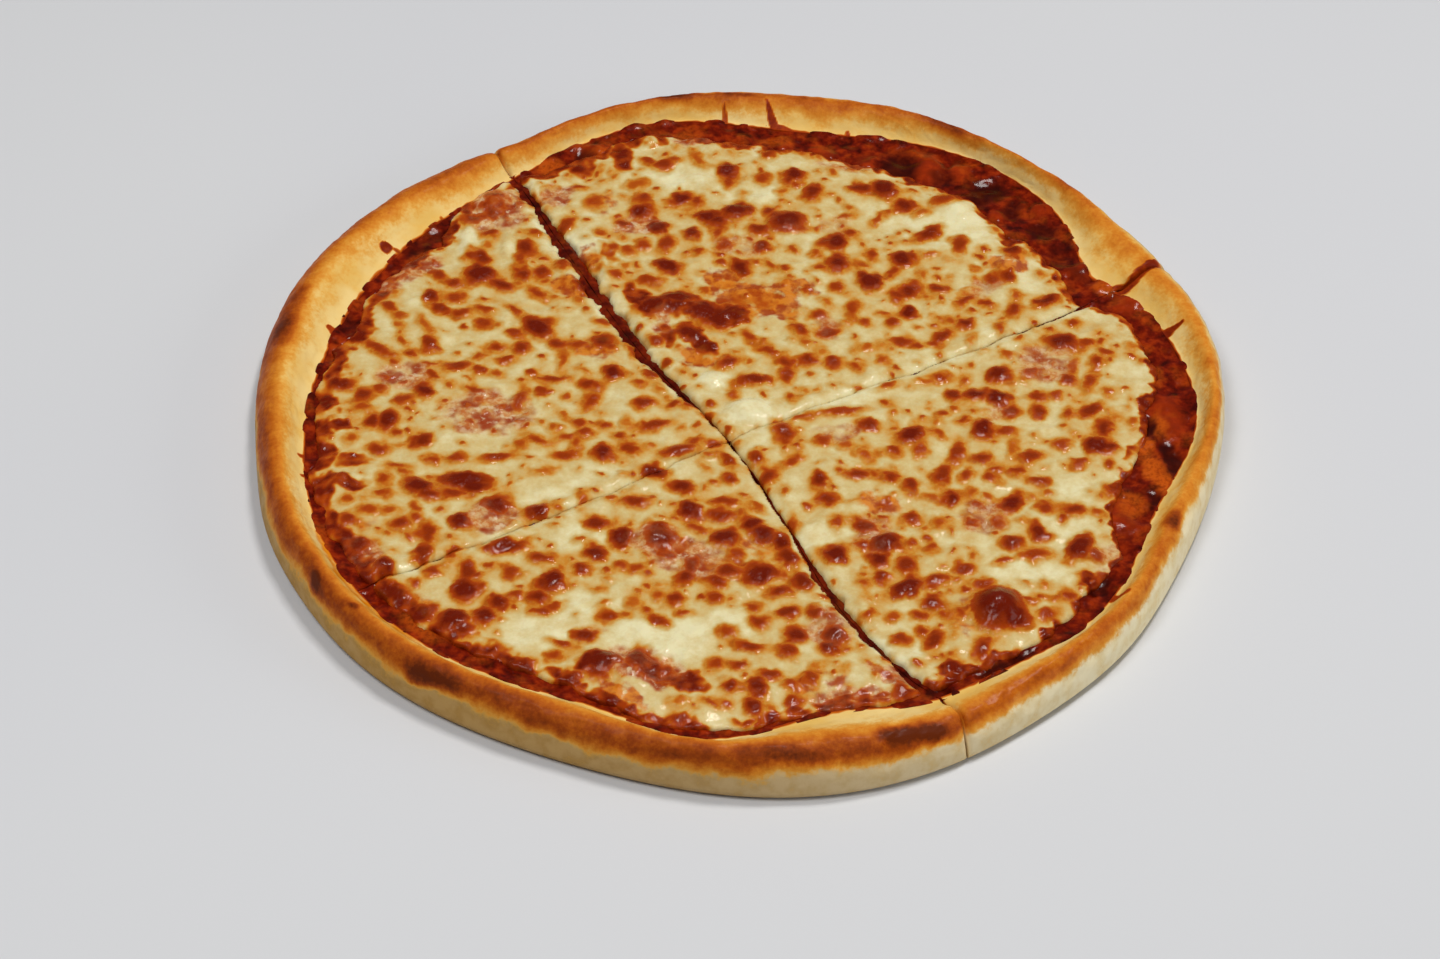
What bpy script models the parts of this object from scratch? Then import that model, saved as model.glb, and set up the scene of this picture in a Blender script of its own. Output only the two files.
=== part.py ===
"""A thin margherita pizza of 28 cm, cut into four slices that still lie together.

The pizza lies flat on z = 0 with its centre on the Z axis. Lengths are in metres, and the X axis
points to the viewer's right, with Y away from the viewer. It is built in the order in which it is
baked: a rolled crust, a layer of sauce, a layer of cheese, and at last the cuts of the wheel.
"""

import math

import bmesh
import bpy
import numpy as np
from mathutils import Vector, geometry, noise

MM = 0.001

# From the centre of the plan curves below to the middle of the finished outline, in mm
OFF_CENTRE = (-0.5, -2.3)

# Heights, from the table up
FLOOR_Z = 5.0 * MM
LAYER_GAP = 0.3 * MM
SAUCE_Z = 6.6 * MM
SAUCE_RING_Z = 8.2 * MM
CHEESE_Z = 9.6 * MM
RIM_FOOT_Z = 8.6 * MM
RIM_CREST_Z = 14.4 * MM

# Plan radii: a base, and swells of (direction in degrees, rise in mm, spread in degrees)
CRUST_RADIUS = 132.0 * MM
CRUST_SWELLS = (
    (-80, 14.4, 31),
    (-133, 10.9, 27),
    (165, 7.3, 32),
    (124, -3.0, 8),
    (77, 10.2, 43),
    (15, 6.6, 23),
    (-42, 2.2, 12),
    (-157, 1.8, 10),
    (55, -2.0, 10),
    (112, -1.3, 12),
)
FOOT_RADIUS = 117.9 * MM
FOOT_SWELLS = (
    (-135, 13.5, 38),
    (-93, 9.9, 11),
    (-68, 4.0, 8),
    (-25, -6.9, 16),
    (-20, 14.0, 46),
    (30, -7.9, 8),
    (59, 13.1, 22),
    (103, 11.3, 17),
    (-17, -4.6, 13),
)
# The sauce that the cheese leaves bare along the rim
BARE_SAUCE = 3.8 * MM
BARE_SAUCE_SWELLS = ((-10, 9.0, 14), (20, 5.0, 12), (56, 15.0, 18), (90, 5.0, 13), (-132, 1.0, 16))
CREST_SWELLS = ((-64, -2.2, 14), (-150, 0.6, 30), (60, 0.7, 30))

# The two cuts, each in mm from end to end; both run past the crust where they go through its rim
CUT_A = (
    (-89, 119),
    (-76, 101),
    (-69.4, 93),
    (-52.5, 60),
    (-30, 17.6),
    (-4, -20),
    (13.4, -55.4),
    (25.5, -82),
    (42.3, -106.3),
    (54.5, -118.5),
    (59.6, -130),
    (66, -150),
)
CUT_B = (
    (-96, -80),
    (-72.7, -66),
    (-38.7, -44.7),
    (-4, -20),
    (30.1, 1),
    (58.9, 17.8),
    (91.6, 38.5),
    (107.1, 50),
    (119, 56.5),
    (146, 70),
)
CROSSING = (-4, -20)
CUT_STEP = 4.0 * MM
# How often the search for where a cut meets a rim halves its stretch
HALVINGS = 20
KNIFE_BOTTOM_Z = -2.0 * MM
KNIFE_TOP_Z = 20.0 * MM
KNIFE_HALF_WIDTHS = (0.35 * MM, 1.1 * MM)
SAUCE_HALF_GAP = 0.8 * MM
CHEESE_HALF_GAP = 1.1 * MM
# How far outside the cheese the sauce starts and ends its step up
STEP_CLEARANCES = (0.5 * MM, 1.1 * MM)

# How finely each form is divided
RIM_STATIONS = 100
SHOULDER_STEPS = 6
SLOPE_STEPS = 5
EDGE_STEP = 5.5 * MM
SAUCE_GRID = 14.0 * MM
CHEESE_GRID = 7.0 * MM

# The rim's section
HEEL = 1.6 * MM
SHOULDER_Z = 2.2 * MM
CREST_INSET = 8.5 * MM
CREST_SHARE = 0.46
RIM_DENTS = (0.45 * MM, 17.0 * MM)

# The cheese: rounded lips, slow swells and the few blisters that are as large as a berry
LIP = ((0.9 * MM, 0.55 * MM), (2.4 * MM, 0.1 * MM))
LIP_DROP = 1.5 * MM
CHEESE_WAVES = ((0.42 * MM, 21.0 * MM), (0.34 * MM, 9.0 * MM))
EDGE_WAVES = (1.6 * MM, 13.0 * MM)
SAUCE_WAVES = (0.35 * MM, 10.0 * MM)
# (x, y, half-width, height) in mm
BLISTERS = (
    (68, -83, 6.5, 2.4),
    (4, -7, 6.5, 1.4),
    (-110, -42, 6.0, 1.2),
    (-77, 84, 6.5, 1.4),
    (-52, 103, 6.0, 1.3),
    (-28, -110, 8.0, 1.0),
    (-20, 36, 8.0, 0.9),
    (-70, -53, 6.0, 1.0),
)

MATERIALS = {
    "crust": ((0.62, 0.33, 0.10), 0.55),
    "sauce": ((0.19, 0.03, 0.01), 0.35),
    "cheese": ((0.75, 0.52, 0.22), 0.4),
}


def clear_scene():
    for obj in list(bpy.data.objects):
        bpy.data.objects.remove(obj)


def material(kind):
    color, roughness = MATERIALS[kind]
    made = bpy.data.materials.get(kind) or bpy.data.materials.new(kind)
    made.use_nodes = True
    shader = made.node_tree.nodes["Principled BSDF"]
    shader.inputs["Base Color"].default_value = (*color, 1)
    shader.inputs["Roughness"].default_value = roughness
    shader.inputs["Metallic"].default_value = 0
    made.diffuse_color = (*color, 1)
    return made


def add_object(name, kind, points, faces):
    """An object from plan points, moved so that the whole stands centred on the Z axis."""
    mesh = bpy.data.meshes.new(name)
    middle_x, middle_y = (value * MM for value in OFF_CENTRE)
    mesh.from_pydata([(x - middle_x, y - middle_y, z) for x, y, z in points], [], faces)
    mesh.materials.append(material(kind))
    obj = bpy.data.objects.new(name, mesh)
    bpy.context.scene.collection.objects.link(obj)
    return obj


def swell(angle, swells):
    """The sum, in metres, of the swells at an angle in radians."""
    total = 0
    for direction, rise, spread in swells:
        away = (math.degrees(angle) - direction + 180) % 360 - 180
        total += rise * MM * math.exp(-((away / spread) ** 2))
    return total


def wave(point, height, length, seed=0):
    """A smooth unevenness of about this height and length."""
    return height * noise.noise((point.x / length, point.y / length, seed))


def from_centre(angle, distance):
    return Vector((math.cos(angle), math.sin(angle))) * distance


def crust_radius(angle):
    return CRUST_RADIUS + swell(angle, CRUST_SWELLS)


def foot_radius(angle):
    return FOOT_RADIUS + swell(angle, FOOT_SWELLS)


def sauce_radius(angle):
    return foot_radius(angle) - LAYER_GAP


def cheese_radius(angle):
    edge = foot_radius(angle) - BARE_SAUCE - swell(angle, BARE_SAUCE_SWELLS)
    return edge + wave(from_centre(angle, edge), *EDGE_WAVES, seed=5)


def crest_z(angle):
    dents = wave(from_centre(angle, CRUST_RADIUS), *RIM_DENTS, seed=9)
    return RIM_CREST_Z + swell(angle, CREST_SWELLS) + dents


def smooth_line(points, step):
    """A curve through points in mm, at about this step in metres."""
    knots = [Vector((x * MM, y * MM, 0)) for x, y in points]
    knots = [2 * knots[0] - knots[1], *knots, 2 * knots[-1] - knots[-2]]
    line = []
    for before, start, end, after in zip(knots, knots[1:], knots[2:], knots[3:]):
        count = max(2, round((end - start).length / step))
        for i in range(count):
            t = i / count
            line.append(
                start
                + (end - before) * (t * (1 - t) ** 2 / 2)
                + (end - start) * (t * t * (3 - 2 * t))
                - (after - start) * (t * t * (1 - t) / 2)
            )
    line.append(knots[-2])
    return [p.to_2d() for p in line]


def normals(line):
    """The left-hand normal at each point of a line."""
    found = []
    for i in range(len(line)):
        along = (line[min(i + 1, len(line) - 1)] - line[max(i - 1, 0)]).normalized()
        found.append(Vector((-along.y, along.x)))
    return found


def half_cuts():
    """The four arms of the cuts, each from the crossing outwards, by the side they reach."""
    a = smooth_line(CUT_A, CUT_STEP)
    b = smooth_line(CUT_B, CUT_STEP)
    middle = Vector(CROSSING) * MM
    split_a = min(range(len(a)), key=lambda i: (a[i] - middle).length)
    split_b = min(range(len(b)), key=lambda i: (b[i] - middle).length)
    return {
        "back_left": a[split_a::-1],
        "front_right": a[split_a:],
        "front_left": b[split_b::-1],
        "back_right": b[split_b:],
    }


# Each slice lies between two arms of the cuts, taken counterclockwise
SLICES = {
    "left": ("back_left", "front_left"),
    "front": ("front_left", "front_right"),
    "right": ("front_right", "back_right"),
    "back": ("back_right", "back_left"),
}


def arm_inside(arm, side, gap, radius):
    """The stretch of an arm, moved sideways by a gap, that lies within the radius."""
    moved = [p + n * side * gap for p, n in zip(arm, normals(arm))]
    inside = [moved[0]]
    for p, q in zip(moved, moved[1:]):
        if q.length < radius(math.atan2(q.y, q.x)):
            inside.append(q)
            continue
        low, high = 0.0, 1.0
        for _ in range(HALVINGS):
            share = (low + high) / 2
            middle = p.lerp(q, share)
            if middle.length < radius(math.atan2(middle.y, middle.x)):
                low = share
            else:
                high = share
        end = p.lerp(q, low)
        if (end - inside[-1]).length < CUT_STEP / 2 and len(inside) > 1:
            inside.pop()
        inside.append(end)
        return inside
    # An arm that ends short of this radius is carried on to it
    end_angle = math.atan2(moved[-1].y, moved[-1].x)
    inside.append(from_centre(end_angle, radius(end_angle)))
    return inside


def slice_outline(name, gap, radius):
    """The plan outline of one slice, counterclockwise from its tip."""
    arms = half_cuts()
    first = arm_inside(arms[SLICES[name][0]], 1, gap, radius)
    last = arm_inside(arms[SLICES[name][1]], -1, gap, radius)
    corner = geometry.intersect_line_line(
        *(p.to_3d() for p in (first[0], first[1], last[0], last[1]))
    )[0].to_2d()
    start = math.atan2(first[-1].y, first[-1].x)
    end = math.atan2(last[-1].y, last[-1].x)
    if end < start:
        end += 2 * math.pi
    count = round((end - start) * CRUST_RADIUS / EDGE_STEP)
    angles = [start + (end - start) * i / count for i in range(1, count)]
    rim = [from_centre(angle, radius(angle)) for angle in angles]
    return [corner, *first[1:], *rim, *reversed(last[1:])]


def distance_to(outline, point):
    """How far a point is from a closed outline."""
    least = math.inf
    for p, q in zip(outline, outline[1:] + outline[:1]):
        near, share = geometry.intersect_point_line(point, p, q)
        if share <= 0:
            near = p
        elif share >= 1:
            near = q
        least = min(least, (point - near.to_2d()).length)
    return least


def inset(outline, distance):
    """The outline moved inwards, without the points that come too near another side."""
    count = len(outline)
    moved = []
    for i, p in enumerate(outline):
        along = (outline[(i + 1) % count] - outline[i - 1]).normalized()
        q = p + Vector((-along.y, along.x)) * distance
        if distance_to(outline, q) > 0.8 * distance:
            moved.append(q)
    return moved


def grid_inside(outline, spacing, margin):
    """Points of a triangular grid that lie inside the outline, at least a margin from it."""
    low_x, high_x = min(p.x for p in outline), max(p.x for p in outline)
    low_y, high_y = min(p.y for p in outline), max(p.y for p in outline)
    row_step = spacing * math.sqrt(3) / 2
    found = []
    for row, y in enumerate(np.arange(low_y, high_y, row_step)):
        for x in np.arange(low_x + spacing / 2 * (row % 2), high_x, spacing):
            point = Vector((x, y))
            if is_inside(outline, point) and distance_to(outline, point) > margin:
                found.append(point)
    return found


def is_inside(outline, point):
    inside = False
    for p, q in zip(outline, outline[1:] + outline[:1]):
        if (p.y > point.y) != (q.y > point.y):
            if point.x < p.x + (q.x - p.x) * (point.y - p.y) / (q.y - p.y):
                inside = not inside
    return inside


def add_layer(name, kind, outline, extra, creases, bottom_z, side_z, top_z):
    """A flat-bottomed slab: its top runs through the outline, at side_z, and the extra points.

    Creases are pairs of points that an edge of the top joins.
    """
    count = len(outline)
    ring = list(range(count))
    top = geometry.delaunay_2d_cdt(outline + extra, creases, [ring], 1, 1e-7)
    base = geometry.delaunay_2d_cdt(outline, [], [ring], 1, 1e-7)
    points = [(p.x, p.y, side_z(p) if i < count else top_z(p)) for i, p in enumerate(top[0])]
    faces = [tuple(face) for face in top[2]]
    under = len(points)
    points += [(p.x, p.y, bottom_z) for p in base[0]]
    faces += [tuple(under + i for i in reversed(face)) for face in base[2]]
    for i in ring:
        j = (i + 1) % count
        faces.append((under + i, under + j, j, i))
    return add_object(name, kind, points, faces)


def on_edge(point, radius):
    return abs(point.length - radius(math.atan2(point.y, point.x))) < 0.01 * MM


def add_sauce(name):
    """The sauce lies low under the cheese, and steps up to the bare ring along the rim."""
    outline = slice_outline(name, SAUCE_HALF_GAP, sauce_radius)
    cheese = slice_outline(name, CHEESE_HALF_GAP, cheese_radius)

    def height(point):
        if is_inside(cheese, point) or distance_to(cheese, point) < sum(STEP_CLEARANCES) / 2:
            return SAUCE_Z
        return SAUCE_RING_Z + wave(point, *SAUCE_WAVES, seed=2)

    extra = [p for p in grid_inside(outline, SAUCE_GRID, EDGE_STEP) if is_inside(cheese, p)]
    edge = [p for p in cheese if on_edge(p, cheese_radius)]
    creases = []
    for clearance in STEP_CLEARANCES:
        start = len(outline) + len(extra)
        extra += [p - n * clearance for p, n in zip(edge, normals(edge))]
        creases += [(start + i, start + i + 1) for i in range(len(edge) - 1)]
    return add_layer(
        "sauce_" + name,
        "sauce",
        outline,
        extra,
        creases,
        FLOOR_Z + LAYER_GAP,
        lambda p: height(p) if on_edge(p, sauce_radius) else SAUCE_Z,
        height,
    )


def blister_height(point):
    total = 0
    for x, y, half_width, height in BLISTERS:
        away = (point - Vector((x, y)) * MM).length / (half_width * MM)
        if away < 1:
            total += height * MM * (1 - away * away) ** 2
    return total


def cheese_height(point):
    total = CHEESE_Z + blister_height(point)
    for seed, (height, length) in enumerate(CHEESE_WAVES):
        total += wave(point, height, length, seed)
    return total


def add_cheese(name):
    outline = slice_outline(name, CHEESE_HALF_GAP, cheese_radius)
    drops = {}
    extra = []
    for distance, drop in LIP:
        for p in inset(outline, distance):
            drops[(round(p.x, 7), round(p.y, 7))] = drop
            extra.append(p)
    extra += grid_inside(outline, CHEESE_GRID, LIP[-1][0] + CHEESE_GRID / 2)
    return add_layer(
        "cheese_" + name,
        "cheese",
        outline,
        extra,
        [],
        SAUCE_Z + LAYER_GAP,
        lambda p: CHEESE_Z - LIP_DROP,
        lambda p: cheese_height(p) - drops.get((round(p.x, 7), round(p.y, 7)), 0),
    )


def rim_section(angle):
    """Points (radius, z) of the crust's section, from its underside up over the rim to its floor."""
    outer = crust_radius(angle)
    foot = foot_radius(angle)
    crest = crest_z(angle)
    inset_of_crest = min(CREST_INSET, CREST_SHARE * (outer - foot))
    section = [(outer - HEEL, 0), (outer - 0.3 * HEEL, 0.3 * SHOULDER_Z)]
    for i in range(SHOULDER_STEPS + 1):
        turn = math.pi / 2 * i / SHOULDER_STEPS
        section.append(
            (
                outer - inset_of_crest * (1 - math.cos(turn)),
                SHOULDER_Z + (crest - SHOULDER_Z) * math.sin(turn),
            )
        )
    for i in range(1, SLOPE_STEPS + 1):
        share = i / SLOPE_STEPS
        fall = (1 - math.cos(math.pi * share)) / 2
        section.append(
            (
                outer - inset_of_crest + (foot - outer + inset_of_crest) * share,
                crest + (RIM_FOOT_Z - crest) * fall,
            )
        )
    section.append((foot, FLOOR_Z))
    return section


def whole_crust():
    """The crust before it is cut: its section swept round, closed by a floor and an underside."""
    points = []
    for i in range(RIM_STATIONS):
        angle = 2 * math.pi * i / RIM_STATIONS
        for radius, z in rim_section(angle):
            points.append((radius * math.cos(angle), radius * math.sin(angle), z))
    rows = len(rim_section(0))
    faces = []
    for i in range(RIM_STATIONS):
        here, there = i * rows, (i + 1) % RIM_STATIONS * rows
        for k in range(rows - 1):
            faces.append((here + k, there + k, there + k + 1, here + k + 1))
    faces.append(tuple(i * rows for i in reversed(range(RIM_STATIONS))))
    faces.append(tuple(i * rows + rows - 1 for i in range(RIM_STATIONS)))
    return add_object("crust", "crust", points, faces)


def add_knife(name, cut):
    """The wedge that a cut takes away, kept as a guide that isn't rendered."""
    line = smooth_line(cut, CUT_STEP)
    low, high = KNIFE_HALF_WIDTHS
    points = []
    for p, n in zip(line, normals(line)):
        for side, width, z in (
            (-1, low, KNIFE_BOTTOM_Z),
            (1, low, KNIFE_BOTTOM_Z),
            (1, high, KNIFE_TOP_Z),
            (-1, high, KNIFE_TOP_Z),
        ):
            q = p + n * side * width
            points.append((q.x, q.y, z))
    faces = [(0, 3, 2, 1)]
    for i in range(len(line) - 1):
        for k in range(4):
            j = (k + 1) % 4
            faces.append((4 * i + k, 4 * i + j, 4 * i + 4 + j, 4 * i + 4 + k))
    last = 4 * (len(line) - 1)
    faces.append((last, last + 1, last + 2, last + 3))
    knife = add_object(name, "crust", points, faces)
    repair = bmesh.new()
    repair.from_mesh(knife.data)
    bmesh.ops.recalc_face_normals(repair, faces=repair.faces)
    repair.to_mesh(knife.data)
    repair.free()
    knife.hide_render = True
    knife.display_type = "WIRE"
    return knife


def cut_mesh(obj, knives):
    for knife in knives:
        cut = obj.modifiers.new("cut_by_" + knife.name, "BOOLEAN")
        cut.operation = "DIFFERENCE"
        cut.solver = "EXACT"
        cut.object = knife
    graph = bpy.context.evaluated_depsgraph_get()
    mesh = bpy.data.meshes.new_from_object(obj.evaluated_get(graph))
    return mesh


def crust_name(points):
    """The slices that a piece of crust carries, by the direction of its middle."""
    middle = sum((p.to_2d() for p in points), Vector((0, 0))) / len(points)
    if middle.y > abs(middle.x):
        return "crust_back"
    if middle.x > 0:
        return "crust_right"
    return "crust_left_front"


def add_crusts():
    """Three pieces: the left and front slices still hang together at their rim.

    A piece is all the faces that can be reached from one of them over shared edges.
    """
    whole = whole_crust()
    mesh = cut_mesh(whole, [add_knife("knife_a", CUT_A), add_knife("knife_b", CUT_B)])
    bpy.data.objects.remove(whole)
    cut = bmesh.new()
    cut.from_mesh(mesh)
    pieces = []
    sorted_out = set()
    for first in cut.faces:
        if first in sorted_out:
            continue
        piece = [first]
        sorted_out.add(first)
        for face in piece:
            for other in (f for edge in face.edges for f in edge.link_faces):
                if other not in sorted_out:
                    sorted_out.add(other)
                    piece.append(other)
        pieces.append(piece)
    for piece in pieces:
        verts = sorted({vert for face in piece for vert in face.verts}, key=lambda v: v.index)
        place = {vert: i for i, vert in enumerate(verts)}
        points = [vert.co + Vector(OFF_CENTRE).to_3d() * MM for vert in verts]
        faces = [tuple(place[vert] for vert in face.verts) for face in piece]
        add_object(crust_name(points), "crust", points, faces)
    cut.free()


def shade(obj):
    obj.data.shade_smooth()
    obj.data.set_sharp_from_angle(angle=math.radians(40))


clear_scene()
add_crusts()
for slice_name in SLICES:
    add_sauce(slice_name)
    add_cheese(slice_name)
for each in bpy.context.scene.objects:
    if not each.hide_render:
        shade(each)
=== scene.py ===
"""The looks of a margherita pizza that is cut into four slices.

Every surface is a mesh made here from the same plan curves as the solids. Lengths are in mm and in
the plan's own frame until a mesh is made: PLAN_TO_FRAME moves it to the part's frame.
"""

import math

import bpy
import numpy as np
from mathutils import Matrix, Vector, noise


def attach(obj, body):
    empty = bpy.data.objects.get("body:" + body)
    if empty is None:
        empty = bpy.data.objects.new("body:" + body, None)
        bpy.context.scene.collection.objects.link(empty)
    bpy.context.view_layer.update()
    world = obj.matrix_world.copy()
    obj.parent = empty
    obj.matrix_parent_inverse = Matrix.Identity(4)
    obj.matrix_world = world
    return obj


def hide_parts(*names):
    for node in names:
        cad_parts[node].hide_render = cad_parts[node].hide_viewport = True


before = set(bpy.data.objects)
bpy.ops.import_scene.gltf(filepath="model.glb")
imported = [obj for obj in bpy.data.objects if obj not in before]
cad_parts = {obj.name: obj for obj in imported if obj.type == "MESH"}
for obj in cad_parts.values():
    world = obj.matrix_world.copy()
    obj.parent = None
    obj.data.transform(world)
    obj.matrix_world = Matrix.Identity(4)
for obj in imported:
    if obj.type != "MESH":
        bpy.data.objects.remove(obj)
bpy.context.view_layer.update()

MM = 0.001
PLAN_TO_FRAME = (0.5, 2.3)

# Heights
FLOOR_Z = 5.0
SAUCE_Z = 6.6
SAUCE_RING_Z = 8.2
SAUCE_BOTTOM_Z = 5.3
CHEESE_Z = 9.6
CHEESE_BOTTOM_Z = 6.9
RIM_FOOT_Z = 8.6
RIM_CREST_Z = 14.4

# Plan radii: a base, and swells of (direction in degrees, rise, spread in degrees)
CRUST_RADIUS = 132.0
CRUST_SWELLS = (
    (-80, 14.4, 31), (-133, 10.9, 27), (165, 7.3, 32), (124, -3, 8), (77, 10.2, 43), (15, 6.6, 23),
    (-42, 2.2, 12), (-157, 1.8, 10), (55, -2, 10), (112, -1.3, 12),
)
FOOT_RADIUS = 117.9
FOOT_SWELLS = (
    (-135, 13.5, 38), (-93, 9.9, 11), (-68, 4, 8), (-25, -6.9, 16), (-20, 14, 46), (30, -7.9, 8),
    (59, 13.1, 22), (103, 11.3, 17), (-17, -4.6, 13),
)
# The sauce left bare between the cheese and the rim's foot: direction, width
BARE_SAUCE = (
    (-180, 1.2), (-172, 2.1), (-165, 4), (-162, .7), (-156, 2), (-151, 1.8), (-144, 3.6), (-134, 4.2),
    (-127, 4.4), (-121, 5), (-114, 4), (-107, 2.4), (-101, .5), (-93, 3), (-85, 1.2), (-76, -.5), (-70, .8),
    (-66, 2.7), (-55, 2.4), (-47, 3.4), (-38, 6.5), (-31, 3), (-26, 8), (-19, 11.5), (-10, 12), (-1, 14),
    (6, 7.6), (11, 9), (18, 6.5), (25, 11.5), (30, 7.8), (34, 8.6), (39, 14), (44, 19.5), (52, 17.5),
    (61, 19), (72, 14), (81, 9), (94, 10), (106, 5.7), (114, 6), (121, 4.5), (127, -.5), (135, -1),
    (139, .8), (145, 6.6), (152, 4.1), (157, 2.2), (164, 2.4), (169, 5.4), (173, 1.5), (180, 1.2),
)
CREST_SWELLS = ((-64, -2.2, 14), (-150, .6, 30), (60, .7, 30))
CREST_DENT = (0.45, 17.0, 9)

# The two cuts, as in the solids
CUT_A = (
    (-89, 119), (-76, 101), (-69.4, 93), (-52.5, 60), (-30, 17.6), (-4, -20), (13.4, -55.4), (25.5, -82),
    (42.3, -106.3), (54.5, -118.5), (59.6, -130), (66, -150),
)
CUT_B = (
    (-96, -80), (-72.7, -66), (-38.7, -44.7), (-4, -20), (30.1, 1), (58.9, 17.8), (91.6, 38.5), (107.1, 50),
    (119, 56.5), (146, 70),
)
CROSSING = (-4, -20)
# Half the gap in the cheese: along the first cut by y, and along the second by x
CHEESE_GAPS_A = (
    (-120, 1.2), (-100, .8), (-82, 1.5), (-60, .5), (-20, .3), (0, .9), (20, 1.9), (50, 2.3), (80, 1.6),
    (100, 1.2),
)
CHEESE_GAPS_B = ((-96, .2), (-60, .1), (-20, .05), (0, .05), (30, .05), (60, .05), (100, .3))
# How deep the cheese's lip falls at the cuts
LIPS_A = ((-120, 1.6), (-82, 1.9), (-60, 1.3), (-20, 1.2), (0, 1.7), (40, 2.1), (90, 1.5))
LIPS_B = ((-96, 1.2), (-60, 1.2), (-20, .9), (30, 1.3), (60, 1.4), (100, 1.5))
SAUCE_HALF_GAP = 0.1
CRUST_HALF_GAP = 0.4
# How far the dark crust at the cheese's edge reaches in: direction, reach, spread
CRUSTY_BASE = 2.4
CRUSTY_REACH = ((180, 4.5, 40), (-130, 3, 20), (-70, 2, 20), (110, 2.5, 20), (40, 1, 30))

# Plan grid on which the cheese and the sauce are worked out
GRID_STEP = 0.45
GRID_REACH = 136.0
SAUCE_STRIDE = 2

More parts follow.
